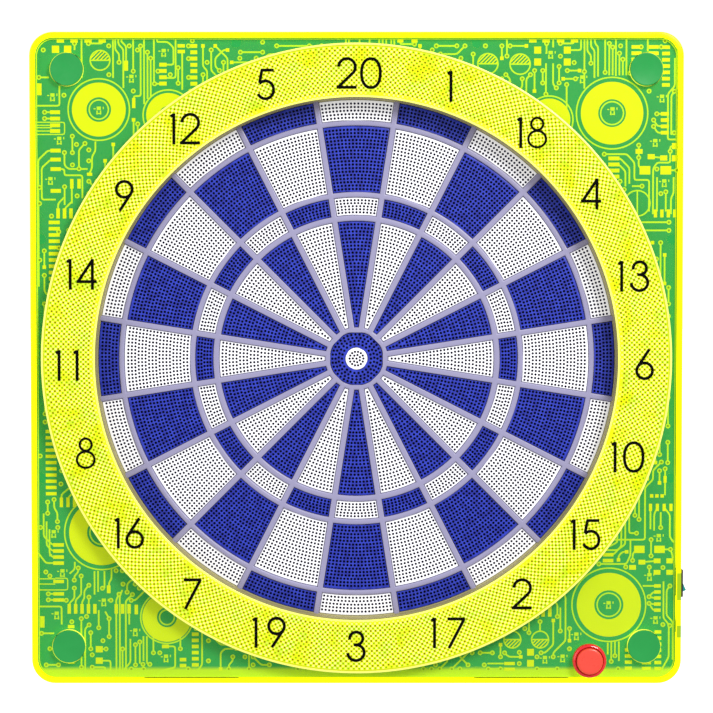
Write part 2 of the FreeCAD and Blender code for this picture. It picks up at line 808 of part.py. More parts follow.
def main():
    os.makedirs("parts", exist_ok=True)
    nodes = {
        "front_cover": make_front_cover(),
        "artwork_film": make_artwork_film(),
        "chassis_frame": make_chassis_frame(),
        "number_ring": make_number_ring(),
        "number_ring_screws": make_number_ring_screws(),
        "spider": make_spider(),
        "spider_screws": make_spider_screws(),
        "rubber_sheet": make_sheet(rubber_front_y, rubber_thickness),
        "sensor_film_front": make_sheet(ribbon_front, film_thickness),
        "sensor_spacer": make_sheet(ribbon_front + film_step, film_thickness),
        "sensor_film_rear": make_sheet(ribbon_front + 2 * film_step, film_thickness),
        "backing_plate": make_backing_plate(),
        "backing_screws": make_backing_screws(),
        "rear_cover": make_rear_cover(),
        "rear_cover_screws": make_rear_cover_screws(),
        "corner_caps": make_corner_caps(),
        "foot_pads": make_foot_pads(),
        "control_board": make_control_board(),
        "control_board_parts": make_control_board_parts(),
        "control_board_screws": make_control_board_screws(),
        "ribbon_tail": make_ribbon_tail(),
        "ribbon_connector": make_ribbon_connector(),
        "speaker_frame": make_speaker_frame(),
        "speaker_cone": make_speaker_cone(),
        "battery_pack": make_battery_pack(),
        "charge_socket": make_charge_socket(),
        "charge_board": make_charge_board(),
        "charge_board_screws": make_charge_board_screws(),
        "button_body": make_button_body(),
        "button_cap": make_button_cap(),
        "button_spring": make_button_spring(),
        "button_switch": make_button_switch(),
        "rocker_housing": make_rocker_housing(),
        "rocker_lever": make_rocker_lever(),
        "rocker_terminals": make_rocker_terminals(),
        "button_wires": make_button_wires(),
        "rocker_wires": make_rocker_wires(),
        "battery_wires": make_battery_wires(),
        "bull_inner": make_bull_inner(),
        "bull_outer": make_bull_outer(),
    }
    for index, number in enumerate(sector_order):
        nodes["sector_%02d" % number] = make_sector(index)
    for name, shape in nodes.items():
        save(name, shape)


main()
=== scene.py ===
import math
import random

import bpy
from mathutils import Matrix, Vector
from mathutils.geometry import delaunay_2d_cdt


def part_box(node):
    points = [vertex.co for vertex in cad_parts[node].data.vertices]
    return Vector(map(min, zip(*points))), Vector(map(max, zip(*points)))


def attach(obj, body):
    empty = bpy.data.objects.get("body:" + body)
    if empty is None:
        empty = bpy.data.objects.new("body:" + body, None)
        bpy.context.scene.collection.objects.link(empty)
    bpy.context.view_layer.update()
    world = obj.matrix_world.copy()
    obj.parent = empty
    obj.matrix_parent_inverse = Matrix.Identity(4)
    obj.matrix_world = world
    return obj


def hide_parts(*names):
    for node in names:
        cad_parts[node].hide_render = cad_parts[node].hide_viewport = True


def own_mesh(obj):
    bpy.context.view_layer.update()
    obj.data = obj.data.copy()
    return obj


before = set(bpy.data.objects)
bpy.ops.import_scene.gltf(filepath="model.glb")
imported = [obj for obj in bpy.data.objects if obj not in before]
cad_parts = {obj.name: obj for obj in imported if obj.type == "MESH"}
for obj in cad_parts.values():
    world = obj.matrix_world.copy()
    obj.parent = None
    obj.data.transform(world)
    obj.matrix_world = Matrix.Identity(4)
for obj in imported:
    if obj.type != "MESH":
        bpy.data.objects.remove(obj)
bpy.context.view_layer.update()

# Lengths are in millimetres until a mesh is made. A flat point is (x, z); y grows away from the player.
MM = 0.001
SECTORS = [20, 1, 18, 4, 13, 6, 10, 15, 2, 17, 3, 19, 7, 16, 8, 11, 14, 9, 12, 5]
STEP = 18.0


def box_mm(node):
    low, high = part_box(node)
    return low / MM, high / MM


# ---- meshes ----


class Shape:
    """Vertices and faces of one piece, each face with the number of its material."""

    def __init__(self):
        self.verts = []
        self.faces = []
        self.slots = []

    def loop(self, points, y):
        """Adds flat points at depth y and returns their numbers."""
        base = len(self.verts)
        self.verts += [(x, y, z) for x, z in points]
        return list(range(base, base + len(points)))

    def face(self, ids, slot=0):
        self.faces.append(tuple(ids))
        self.slots.append(slot)

    def band(self, a, b, slot=0):
        """Quads from closed loop a to closed loop b, with the outside on the right of a's direction."""
        for i in range(len(a)):
            j = (i + 1) % len(a)
            self.face((a[i], b[i], b[j], a[j]), slot)

    def flat(self, ids, triangles, slot=0, back=False):
        for t in triangles:
            corners = [ids[i] for i in t]
            self.face(corners[::-1] if back else corners, slot)

    def turned(self, degrees):
        """A copy turned about the target's axis, anticlockwise for the player."""
        c, s = math.cos(math.radians(degrees)), math.sin(math.radians(degrees))
        copy = Shape()
        copy.verts = [(x * c - z * s, y, x * s + z * c) for x, y, z in self.verts]
        copy.faces = self.faces
        copy.slots = self.slots
        return copy

    def piece(self, name, materials, body="case", slot=None, replaces=(), crease=35.0):
        mesh = bpy.data.meshes.new(name)
        mesh.from_pydata([(x * MM, y * MM, z * MM) for x, y, z in self.verts], [], self.faces)
        for m in materials:
            mesh.materials.append(m)
        mesh.polygons.foreach_set("material_index", self.slots)
        mesh.polygons.foreach_set("use_smooth", [True] * len(self.faces))
        mesh.update()
        mesh.set_sharp_from_angle(angle=math.radians(crease))
        piece = bpy.data.objects.new(name, mesh)
        bpy.context.scene.collection.objects.link(piece)
        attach(piece, body)
        if replaces:
            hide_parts(*replaces)
        return piece


def circle(radius, count, x=0.0, z=0.0, start=0.0):
    """Points of a circle, anticlockwise for the player."""
    angles = [start + 2 * math.pi / count * i for i in range(count)]
    return [(x + radius * math.cos(a), z + radius * math.sin(a)) for a in angles]


def triangles(outlines, inside, holes=()):
    """Triangles between outlines and round holes. inside(x, z) says where the outlines are solid."""
    points, edges, owner = [], [], []
    for number, loop in enumerate(list(outlines) + list(holes)):
        base, count = len(points), len(loop)
        points += [Vector(p) for p in loop]
        edges += [(base + i, base + (i + 1) % count) for i in range(count)]
        owner += [number] * count
    made = delaunay_2d_cdt(points, edges, [], 0, 1e-7, False)
    kept = []
    for t in made[2]:
        owners = {owner[i] for i in t}
        if len(owners) == 1 and min(owners) >= len(outlines):
            continue
        if max(owners) < len(outlines):
            middle = sum((made[0][i] for i in t), Vector((0, 0))) / 3
            if not inside(middle.x, middle.y):
                continue
        kept.append(tuple(t))
    return kept


def lathe(shape, profile, count, x=0.0, z=0.0):
    """Turns a closed profile of (radius, y) about an axis along Y. It runs clockwise, with y down."""
    rings = [shape.loop(circle(r, count, x, z), y) for r, y in profile]
    for a, b in zip(rings, rings[1:] + rings[:1]):
        shape.band(a, b)


def turned_cap(shape, profile, count, x=0.0, z=0.0):
    """Like lathe, for an open profile whose two ends are closed with flat faces."""
    rings = [shape.loop(circle(r, count, x, z), y) for r, y in profile]
    for a, b in zip(rings, rings[1:]):
        shape.band(a, b)
    shape.face(rings[0])
    shape.face(rings[-1][::-1])


# ---- materials ----


def colour(r, g, b):
    """A display colour out of 255 as the linear colour a shader takes."""
    def one(v):
        v /= 255.0
        return v / 12.92 if v <= 0.04045 else ((v + 0.055) / 1.055) ** 2.4
    return (one(r), one(g), one(b), 1.0)


class Nodes:
    """A short way to make and join the nodes of one material."""

    def __init__(self, name):
        self.material = bpy.data.materials.new(name)
        self.material.use_nodes = True
        self.tree = self.material.node_tree
        self.shader = self.tree.nodes["Principled BSDF"]
        self.place = self.add("ShaderNodeTexCoord").outputs["Object"]

    def add(self, kind, settings=(), **inputs):
        node = self.tree.nodes.new(kind)
        for key, value in dict(settings).items():
            setattr(node, key, value)
        for key, value in inputs.items():
            numbered = key[0] == "i" and key[1:].isdigit()
            self.feed(node.inputs[int(key[1:]) if numbered else key.replace("_", " ")], value)
        return node

    def feed(self, socket, value):
        if isinstance(value, bpy.types.NodeSocket):
            self.tree.links.new(value, socket)
        else:
            socket.default_value = value

    def math(self, operation, a, b=0.0):
        return self.add("ShaderNodeMath", {"operation": operation}, i0=a, i1=b).outputs[0]

    def mix(self, factor, a, b):
        node = self.add("ShaderNodeMix", {"data_type": "RGBA"})
        self.feed(node.inputs[0], factor)
        self.feed(node.inputs[6], a)
        self.feed(node.inputs[7], b)
        return node.outputs[2]

    def span(self, value, low, high, to_low=0.0, to_high=1.0):
        node = self.add("ShaderNodeMapRange", {"interpolation_type": "SMOOTHSTEP"})
        for i, v in enumerate((value, low, high, to_low, to_high)):
            self.feed(node.inputs[i], v)
        return node.outputs[0]

    def times(self, a, b):
        return self.math("MULTIPLY", a, b)

    def noise(self, scale, detail=3.0):
        settings = {"Vector": self.place, "Scale": scale, "Detail": detail, "Roughness": 0.55}
        return self.add("ShaderNodeTexNoise", **settings).outputs[0]

    def gloss(self, scale, low, high):
        """Roughness that drifts between two values over the surface."""
        return self.span(self.noise(scale), 0.3, 0.7, low, high)

    def axes(self):
        node = self.add("ShaderNodeSeparateXYZ", Vector=self.place)
        return node.outputs[0], node.outputs[1], node.outputs[2]

    def bump(self, height, strength, distance):
        node = self.add("ShaderNodeBump", Strength=strength, Distance=distance, Height=height)
        self.feed(self.shader.inputs["Normal"], node.outputs[0])

    def set(self, **values):
        for key, value in values.items():
            self.feed(self.shader.inputs[key.replace("_", " ")], value)
        return self.material


def shade(c, factor):
    return tuple(v * factor for v in c[:3]) + (1.0,)


def plastic(name, base, roughness=0.4, vary=0.06, patch=45.0, grain=2600.0, grain_depth=0.00002,
            **values):
    """Moulded plastic: soft colour patches, uneven gloss and a fine grain."""
    n = Nodes(name)
    tone = n.mix(n.noise(patch), shade(base, 1 - vary), shade(base, 1 + vary))
    gloss = n.gloss(patch * 4, roughness * 0.85, roughness * 1.15)
    n.bump(n.noise(grain, 2.0), 0.25, grain_depth)
    return n.set(Base_Color=tone, Roughness=gloss, **values)


def metal(name, base, roughness=0.3, scratches=900.0):
    """Brushed metal, with fine scratches drawn out along one axis."""
    n = Nodes(name)
    tone = n.mix(n.noise(120.0), shade(base, 0.85), base)
    stretched = n.add("ShaderNodeMapping", i0=n.place, i3=(1.0, 12.0, 1.0)).outputs[0]
    streaks = n.add("ShaderNodeTexNoise", Vector=stretched, Scale=scratches).outputs[0]
    n.bump(streaks, 0.2, 0.00001)
    gloss = n.span(streaks, 0.3, 0.7, roughness * 0.8, roughness * 1.25)
    return n.set(Base_Color=tone, Metallic=1.0, Roughness=gloss)


# ---- target keys ----

key_low, key_high = box_mm("bull_outer")
KEY_FRONT = key_low.y
KEY_BACK = key_high.y
KEY_RINGS = {
    "double": (181.6, 196.85),
    "outer_single": (127.4, 177.0),
    "triple": (109.7, 122.7),
    "inner_single": (24.3, 104.6),
}
RIB_HALF = 2.1
KEY_GAP = 0.35
BULL_INNER = 8.4
BULL_OUTER = 20.1
EDGE_ROUND = 0.45
HOLE_TOP = 1.05
HOLE_BORE = 0.88
FUNNEL = 0.7
HOLE_DEPTH = 5.0
HOLE_MARGIN = 1.5
CLOSEST_HOLES = 2.25
HOLE_SIDES = 8
# For each kind of key: first and last row's inset, rows, and the distance between holes in a row.
HOLE_ROWS = {
    "double": (2.65, 1.9, 5, 2.75),
    "outer_single": (2.65, 1.9, 18, 2.72),
    "triple": (1.9, 1.9, 5, 2.75),
    "inner_single": (2.2, 2.6, 29, 2.72),
}
ARC_STEPS = {"double": 10, "outer_single": 10, "triple": 10, "inner_single": 6}
# Depths from a key's front over which painted shade darkens the hole walls.
HOLE_SHADE_FROM = 0.15
HOLE_SHADE_TO = 1.1


def signed_area(points):
    return sum(a[0] * b[1] - b[0] * a[1] for a, b in zip(points, points[1:] + points[:1])) / 2


def between_ribs(inner, outer, offset, count):
    """Outline between two circles and two lines at an offset from the middles of the upright ribs."""
    points = []
    for radius, order in ((inner, -1), (outer, 1)):
        half = math.radians(STEP / 2) - math.asin(offset / radius)
        for i in range(count + 1):
            a = math.pi / 2 + order * half * (1 - 2 * i / count)
            points.append((radius * math.cos(a), radius * math.sin(a)))
    return points[::-1] if signed_area(points) < 0 else points


def sector_holes(inner, outer, first, last, rows, pitch):
    """Centres of a key's holes: rows along the arcs, each spaced evenly from side to side."""
    places = []
    for row in range(rows):
        radius = outer - first - (outer - inner - first - last) * row / max(rows - 1, 1)
        half = math.radians(STEP / 2) - math.asin((RIB_HALF + KEY_GAP + HOLE_MARGIN) / radius)
        width = 2 * half * radius
        count = round(width / pitch) + 1 if width > 1.5 * pitch else int(width / CLOSEST_HOLES) + 1
        for i in range(count):
            a = math.pi / 2 + (half * (1 - 2 * i / (count - 1)) if count > 1 else 0.0)
            places.append((radius * math.cos(a), radius * math.sin(a)))
    return places


def sink_holes(shape, places, front, top, bore, funnel, depth, sides, slot=0):
    """Adds blind holes with a funnel mouth and returns their mouth loops and vertex numbers."""
    mouths, ids = [], []
    start = math.pi / sides
    for x, z in places:
        mouth = circle(top, sides, x, z, start)
        rings = [shape.loop(mouth, front)]
        if funnel:
            rings.append(shape.loop(circle(bore, sides, x, z, start), front + funnel))
        rings.append(shape.loop(circle(bore, sides, x, z, start), front + depth))
        for a, b in zip(rings, rings[1:]):
            shape.band(b, a, slot)
        shape.face(rings[-1], slot)
        mouths.append(mouth)
        ids += rings[0]
    return mouths, ids


def key_shape(outlines, inside, places):
    """One key with a rounded front edge and blind holes. outlines(inset) gives its loops."""
    shape = Shape()
    steps = [(EDGE_ROUND, 0.0), (EDGE_ROUND * 0.3, EDGE_ROUND * 0.3), (0.0, EDGE_ROUND)]
    fronts, backs = [], []
    for number in range(len(outlines(0.0))):
        rings = [shape.loop(outlines(inset)[number], KEY_FRONT + y) for inset, y in steps]
        rings.append(shape.loop(outlines(0.0)[number], KEY_BACK))
        for a, b in zip(rings, rings[1:]):
            shape.band(a, b)
        fronts += rings[0]
        backs += rings[-1]
    mouths, hole_ids = sink_holes(
        shape, places, KEY_FRONT, HOLE_TOP, HOLE_BORE, FUNNEL, HOLE_DEPTH, HOLE_SIDES)
    shape.flat(fronts + hole_ids, triangles(outlines(EDGE_ROUND), inside, mouths))
    shape.flat(backs, triangles(outlines(0.0), inside), back=True)
    return shape


def bull_places(radii, counts, starts):
    places = []
    for radius, count, start in zip(radii, counts, starts):
        places += circle(radius, count, 0.0, 0.0, math.radians(start)) if count > 1 else [(0.0, 0.0)]
    return places


def key_material(name, base, hole, light, light_share, glow):
    """Moulded key plastic, lighter in patches; its holes darken with depth, a painted shade that stands
    in for the dark rubber and the shade behind real through-holes.
    """
    n = Nodes(name)
    # Painted shade: the hole walls turn to the dark hole colour with depth.
    deep = n.span(n.axes()[1], (KEY_FRONT + HOLE_SHADE_FROM) * MM, (KEY_FRONT + HOLE_SHADE_TO) * MM)
    patches = n.mix(n.noise(60.0), shade(base, 0.95), shade(base, 1.04))
    face = n.mix(n.span(n.noise(180.0), 0.35, 0.65, 0.0, light_share), patches, light)
    tone = n.mix(deep, face, hole)
    n.bump(n.noise(3000.0, 2.0), 0.2, 0.00001)
    # Painted glow: emission in the key's own colour lifts it; the white keys get 0.3, the blue none.
    n.feed(n.shader.inputs["Emission Color"], tone)
    return n.set(Base_Color=tone, Roughness=n.gloss(240.0, 0.38, 0.5), Emission_Strength=glow)


# The third colour of each key is the painted shade of its holes.
key_white = key_material(
    "key_white", (0.86, 0.86, 0.9, 1.0), colour(16, 12, 50), (0.9, 0.9, 0.92, 1.0), 0.5, 0.3)
key_blue = key_material(
    "key_blue", colour(22, 38, 160), colour(0, 2, 60), colour(46, 68, 208), 0.7, 0.0)

key_kinds = {}
for kind, (inner, outer) in KEY_RINGS.items():

    def outlines(inset, inner=inner, outer=outer, steps=ARC_STEPS[kind]):
        return [between_ribs(inner + inset, outer - inset, RIB_HALF + KEY_GAP + inset, steps)]

    def inside(x, z, inner=inner, outer=outer):
        return inner - 0.1 < math.hypot(x, z) < outer + 0.1

    key_kinds[kind] = key_shape(outlines, inside, sector_holes(inner, outer, *HOLE_ROWS[kind]))

for index, number in enumerate(SECTORS):
    single = key_blue if index % 2 == 0 else key_white
    other = key_white if index % 2 == 0 else key_blue
    for kind, shape in key_kinds.items():
        looks = single if "single" in kind else other
        shape.turned(-STEP * index).piece(
            f"key_{kind}_{number:02d}", [looks], f"keys_{number:02d}",
            "key_blue" if looks is key_blue else "key_white", [f"sector_{number:02d}"])


def bull_outer_outlines(inset):
    return [circle(BULL_OUTER - inset, 64), circle(BULL_INNER + KEY_GAP + inset, 64)[::-1]]


def bull_inner_outlines(inset):
    return [circle(BULL_INNER - inset, 48)]


bull_blue = key_shape(
    bull_outer_outlines,
    lambda x, z: BULL_INNER < math.hypot(x, z),
    bull_places((11.1, 13.6, 16.0, 18.45), (22, 27, 32, 37), (0, 3, 0, 5)))
bull_blue.piece("bull_ring_key", [key_blue], "bull_outer_key", "key_blue", ["bull_outer"])
bull_white = key_shape(
    bull_inner_outlines,
    lambda x, z: True,
    bull_places((0.0, 2.8, 5.3), (1, 7, 14), (0, 75, 0)))
bull_white.piece("bull_centre_key", [key_white], "bull_inner_key", "key_white", ["bull_inner"])

# ---- spider ----

RIB_FRONT = -46.0
RIB_BACK = -35.0
RIM_RADIUS = 212.0
RIM_INNER = 198.0
RIM_WALL = 201.2
RIM_SHADE_FROM = 197.1
RIM_FRONT = -47.6
RIM_BACK = -44.6
WEB_ROUND = [(0.0, 1.1), (0.18, 0.5), (0.6, 0.14), (1.25, 0.0)]


def web_window(kind, inner, outer, grow):
    """A key's window in the web. The double's outer side stays at the rim."""
    out = outer + KEY_GAP + (min(grow, 0.5) if kind == "double" else grow)
    return between_ribs(inner - KEY_GAP - grow, out, RIB_HALF - grow, ARC_STEPS[kind])


def turn_points(points, degrees):
    c, s = math.cos(math.radians(degrees)), math.sin(math.radians(degrees))
    return [(x * c - z * s, x * s + z * c) for x, z in points]


def make_spider():
    shape = Shape()
    top_loops, top_ids, back_loops, back_ids = [], [], [], []
    for index in range(len(SECTORS)):
        for kind, (inner, outer) in KEY_RINGS.items():
            rings = []
            for grow, drop in WEB_ROUND:
                loop = turn_points(web_window(kind, inner, outer, grow), -STEP * index)
                rings.append((loop, shape.loop(loop, RIB_FRONT + drop)))
            low = turn_points(web_window(kind, inner, outer, 0.0), -STEP * index)
            rings.insert(0, (low, shape.loop(low, RIB_BACK)))
            for a, b in zip(rings, rings[1:]):
                shape.band(a[1], b[1])
            top_loops.append(rings[-1][0])
            top_ids += rings[-1][1]
            back_loops.append(rings[0][0])
            back_ids += rings[0][1]
    hub = []
    for grow, drop in WEB_ROUND:
        loop = circle(BULL_OUTER + KEY_GAP + grow, 64)
        hub.append((loop, shape.loop(loop, RIB_FRONT + drop)))
    low = circle(BULL_OUTER + KEY_GAP, 64)
    hub.insert(0, (low, shape.loop(low, RIB_BACK)))
    for a, b in zip(hub, hub[1:]):
        shape.band(a[1], b[1])
    rim_profile = [
        (RIM_INNER, RIB_FRONT), (RIM_INNER + 0.2, RIM_FRONT + 0.3), (RIM_INNER + 0.6, RIM_FRONT),
        (RIM_RADIUS, RIM_FRONT), (RIM_RADIUS, RIM_BACK), (RIM_WALL, RIM_BACK), (RIM_WALL, RIB_BACK)]
    rims = [(circle(r, 180), shape.loop(circle(r, 180), y)) for r, y in rim_profile]
    for a, b in zip(rims, rims[1:]):
        shape.band(a[1], b[1], 1)

    def solid(x, z):
        radius = math.hypot(x, z)
        if radius < BULL_OUTER + KEY_GAP:
            return False
        lean = (math.degrees(math.atan2(z, x)) - 81.0) % STEP
        side = min(lean, STEP - lean)
        if radius * math.sin(math.radians(side)) < RIB_HALF * 0.98:
            return True
        return all(not a - KEY_GAP < radius < b + KEY_GAP for a, b in KEY_RINGS.values())

    front = triangles([rims[0][0]] + top_loops + [hub[-1][0]], solid)
    back = triangles([rims[-1][0]] + back_loops + [hub[0][0]], solid)
    shape.flat(rims[0][1] + top_ids + hub[-1][1], front)
    shape.flat(rims[-1][1] + back_ids + hub[0][1], back, back=True)
    # Faces out from there get slot 1, a tan painted shade for the band beside the catch ring.
    for i, face in enumerate(shape.faces):
        reach = sum(math.hypot(shape.verts[v][0], shape.verts[v][2]) for v in face) / len(face)
        if reach > RIM_SHADE_FROM:
            shape.slots[i] = 1
    return shape


lavender = plastic("spider_lavender", colour(158, 154, 188), 0.34, 0.05, 30.0)
# Painted shade: the rim's tan stands for the lavender rim in the catch ring's shadow.
rim_shade_tan = plastic("spider_rim_shade_tan", colour(176, 168, 112), 0.5, 0.06, 60.0)
make_spider().piece("spider_web", [lavender, rim_shade_tan], "case", "spider_lavender", ["spider"], 50.0)

# ---- number ring ----

ring_low, ring_high = box_mm("number_ring")
RING_OUTER = ring_high.x
RING_FRONT = ring_low.y
RING_INNER = 197.5
RING_SLEEVE = 200.4
RING_SLEEVE_BACK = ring_high.y
RING_HOLE = 0.78
RING_HOLE_DEPTH = 1.9
PLATE_FRONT = -55.0
HOLES_PER_TURN = 360
RING_ROWS = 18
RING_FIRST_ROW = 202.7
RING_ROW_STEP = 1.9


def make_number_ring():
    """The ring, with rows of holes whose painted shade is in slots 1 and 2, and the edges in slots 3 to
    6: painted highlight in slot 3 and painted shade in slots 5 and 6.
    """
    shape = Shape()
    face_y = RING_FRONT + 0.2
    mouths, ids = [], []
    for row in range(RING_ROWS):
        start = math.pi / HOLES_PER_TURN * (row % 2)
        centres = circle(RING_FIRST_ROW + RING_ROW_STEP * row, HOLES_PER_TURN, start=start)
        made, numbers = sink_holes(
            shape, centres, face_y, RING_HOLE, RING_HOLE, 0.0, RING_HOLE_DEPTH, 6, 1 + row % 2)
        mouths += made
        ids += numbers
    outside = [
        (RING_OUTER - 2.5, face_y), (RING_OUTER - 2.1, face_y + 0.35), (RING_OUTER - 1.6, face_y),
        (RING_OUTER - 1.5, RING_FRONT), (RING_OUTER - 0.7, RING_FRONT),
        (RING_OUTER - 0.2, RING_FRONT + 0.25), (RING_OUTER, RING_FRONT + 0.9),
        (RING_OUTER, PLATE_FRONT - 0.05), (RING_SLEEVE, PLATE_FRONT - 0.05),
        (RING_SLEEVE, RING_SLEEVE_BACK), (RING_INNER, RING_SLEEVE_BACK), (RING_INNER, RING_FRONT + 0.9),
        (RING_INNER + 0.25, RING_FRONT + 0.25), (RING_INNER + 0.8, RING_FRONT),
        (RING_INNER + 1.7, RING_FRONT), (RING_INNER + 2.5, face_y)]
    tones = [4, 4, 3, 3, 3, 3, 0, 0, 5, 5, 5, 6, 3, 3, 0]
    rims = [(circle(r, 360), shape.loop(circle(r, 360), y)) for r, y in outside]
    for a, b, tone in zip(rims, rims[1:], tones):
        shape.band(a[1], b[1], tone)

    def solid(x, z):
        return RING_INNER + 2.5 < math.hypot(x, z) < RING_OUTER

    shape.flat(rims[0][1] + rims[-1][1] + ids, triangles([rims[0][0], rims[-1][0]], solid, mouths))
    return shape


def ring_material():
    """Fluorescent moulding with painted highlights: pale glints painted between the holes, in the same
    polar grid, and a painted glow for its fluorescence.
    """
    n = Nodes("ring_yellow")
    x, _, z = n.axes()
    turn = n.times(n.math("ARCTAN2", z, x), HOLES_PER_TURN)
    radius = n.math("SQRT", n.math("ADD", n.times(x, x), n.times(z, z)))
    across = n.math("SUBTRACT", radius, RING_FIRST_ROW * MM)
    row = n.times(across, math.pi / (RING_ROW_STEP * MM))
    grid = n.times(n.math("COSINE", turn), n.math("COSINE", row))
    # Painted highlight: pale spots between the holes in the holes' own grid.
    glint = n.times(n.span(grid, 0.0, -0.7), n.span(n.noise(70.0), 0.3, 0.55))
    tone = n.mix(n.noise(25.0), colour(214, 228, 0), colour(230, 238, 0))
    tone = n.mix(n.span(n.noise(80.0, 1.0), 0.5, 0.68, 0.0, 0.4), tone, colour(150, 215, 40))
    tone = n.mix(glint, tone, colour(255, 255, 150))
    n.bump(n.noise(2500.0, 2.0), 0.2, 0.00002)
    # Painted glow: the emission stands in for the plastic's fluorescence.
    return n.set(Base_Color=tone, Roughness=n.gloss(200.0, 0.3, 0.42),
                 Emission_Color=colour(250, 250, 0), Emission_Strength=0.12, Specular_IOR_Level=0.2)


ring_yellow = ring_material()
# Painted shade in the ring's holes, brown in one row and green in the next, lifted by a painted glow.
ring_hole_shade_brown = plastic("ring_hole_shade_brown", colour(150, 140, 0), 0.7, 0.2, 90.0,
                          Emission_Color=colour(150, 140, 0), Emission_Strength=0.5)
ring_hole_shade_green = plastic("ring_hole_shade_green", colour(160, 190, 10), 0.7, 0.2, 90.0,
                          Emission_Color=colour(160, 190, 0), Emission_Strength=0.5)
ring_groove = plastic("ring_groove", colour(214, 220, 20), 0.5, 0.05, 40.0)
# Painted shade on the ring's inner wall and sleeve in tan, and a darker line of painted shade on its
# inner front edge.
ring_wall = plastic("ring_wall_shade_tan", colour(168, 158, 96), 0.55, 0.05, 50.0)
ring_wall_edge = plastic("ring_wall_edge", colour(128, 124, 12), 0.5, 0.05, 50.0)
# Painted highlight: a pale rim with a slight glow on the ring's front edges.
ring_rim_highlight = plastic("ring_rim_highlight", colour(253, 253, 120), 0.25, 0.03, 30.0,
                   Emission_Color=colour(255, 255, 90), Emission_Strength=0.15)
make_number_ring().piece(
    "dart_catch_ring",
    [ring_yellow, ring_hole_shade_brown, ring_hole_shade_green, ring_rim_highlight, ring_groove, ring_wall, ring_wall_edge],
    "case", "ring_yellow", ["number_ring"])

# ---- numerals ----

STROKE = 2.2
THIN_STROKE = 1.75
NUMERAL_HEIGHT = 23.4
NUMERAL_RADIUS = 218.2
DIGIT_WIDTHS = dict(zip("0123456789", (15.9, 3.8, 15.5, 14.4, 15.3, 14.4, 13.6, 13.7, 14.7, 13.6)))
GAP_AFTER_ONE = dict(zip("0123456789", (5.3, 9.8, 3.5, 5.3, 3.9, 4.5, 4.8, 9.0, 4.2, 7.9)))
GAP_AFTER_TWO = 2.6
# How far each number stands from its even place round the ring.
NUDGES = {
    20: (1.8, -2.6), 1: (2.6, -1.7), 18: (3.8, -5.5), 4: (0.3, -3.2), 13: (1.4, -4.5), 6: (-0.5, -3.6),
    10: (-2.3, -6.4), 15: (-3.2, -4.4), 2: (-2.9, -1.4), 17: (2.1, 0.0), 3: (-0.5, 0.4), 19: (0.9, 0.3),
    7: (4.1, -1.2), 16: (4.2, -3.3), 8: (2.6, -3.5), 11: (-0.8, -4.4), 14: (0.0, -3.0), 9: (1.5, -4.8),
    12: (-0.8, -2.7), 5: (-1.2, -0.3),
}


def arc(x, z, rx, rz, start, end, count=28, power=2.0):
    """Points of an arc from one angle to another, in degrees. A higher power squares it off."""
    points = []
    for i in range(count + 1):
        a = math.radians(start + (end - start) * i / count)
        c, s = math.cos(a), math.sin(a)
        across, up = (math.copysign(abs(v) ** (2 / power), v) for v in (c, s))
        points.append((x + rx * across, z + rz * up))
    return points


def digit_lines(digit):
    """Centre lines of a digit's strokes, from the lower left corner of the space it takes."""
    low, high = STROKE / 2, NUMERAL_HEIGHT - STROKE / 2
    if digit == "0":
        return [arc(7.95, NUMERAL_HEIGHT / 2, 7.05, 10.8, 0, 360, 48, 2.25)]
    if digit == "1":
        return [[(2.95, 0.0), (2.95, 23.2)], [(0.5, 20.9), (2.95, 22.5)]]
    if digit == "2":
        return [arc(8.0, 16.3, 6.3, 6.3, 178, -45) + [(1.3, low)], [(0.2, low), (15.3, low)]]
    if digit == "3":
        return [arc(7.5, 17.7, 5.0, 4.85, 192, -90), [(5.6, 12.85), (7.6, 12.85)],
                arc(7.3, 6.85, 6.25, 6.0, 90, -178)]
    if digit == "4":
        return [[(12.0, 0.0), (12.0, 23.2)], [(12.1, 22.4), (1.2, 6.1)], [(0.0, 6.1), (15.3, 6.1)]]
    if digit == "5":
        return [[(3.9, high), (13.6, high)], [(4.7, high), (2.9, 12.9)],
                arc(7.3, 7.55, 6.15, 6.7, 136, -153)]
    if digit == "6":
        return [arc(6.8, 6.8, 5.95, 5.95, 0, 360, 40), [(10.3, 23.0), (1.81, 10.05)]]
    if digit == "7":
        return [[(0.0, high), (13.3, high)], [(12.7, high), (1.1, 0.0)]]
    if digit == "8":
        return [arc(7.35, 18.15, 4.5, 4.6, 0, 360, 36), arc(7.35, 6.8, 6.65, 6.15, 0, 360, 40)]
    return [arc(6.8, 16.6, 5.95, 5.95, 0, 360, 40), [(3.3, 0.4), (11.79, 13.35)]]


def strip(points, width):
    """Quads along a line, mitred at its bends. A line that ends where it starts is closed."""
    closed = math.dist(points[0], points[-1]) < 1e-6
    if closed:
        points = points[:-1]
    count = len(points)
    sides = []
    for i, (x, z) in enumerate(points):
        a = b = None
        if i or closed:
            a = (Vector((x, z)) - Vector(points[i - 1])).normalized()
        if i < count - 1 or closed:
            b = (Vector(points[(i + 1) % count]) - Vector((x, z))).normalized()
        a, b = a or b, b or a
        across = Vector((-(a + b).y, (a + b).x)).normalized()
        reach = width / 2 / max(across.dot(Vector((-a.y, a.x))), 0.5)
        dx, dz = across.x * reach, across.y * reach
        sides.append(((x + dx, z + dz), (x - dx, z - dz)))
    quads = []
    for i in range(count if closed else count - 1):
        (a, b), (c, d) = sides[i], sides[(i + 1) % count]
        quads.append([a, b, d, c])
    return quads


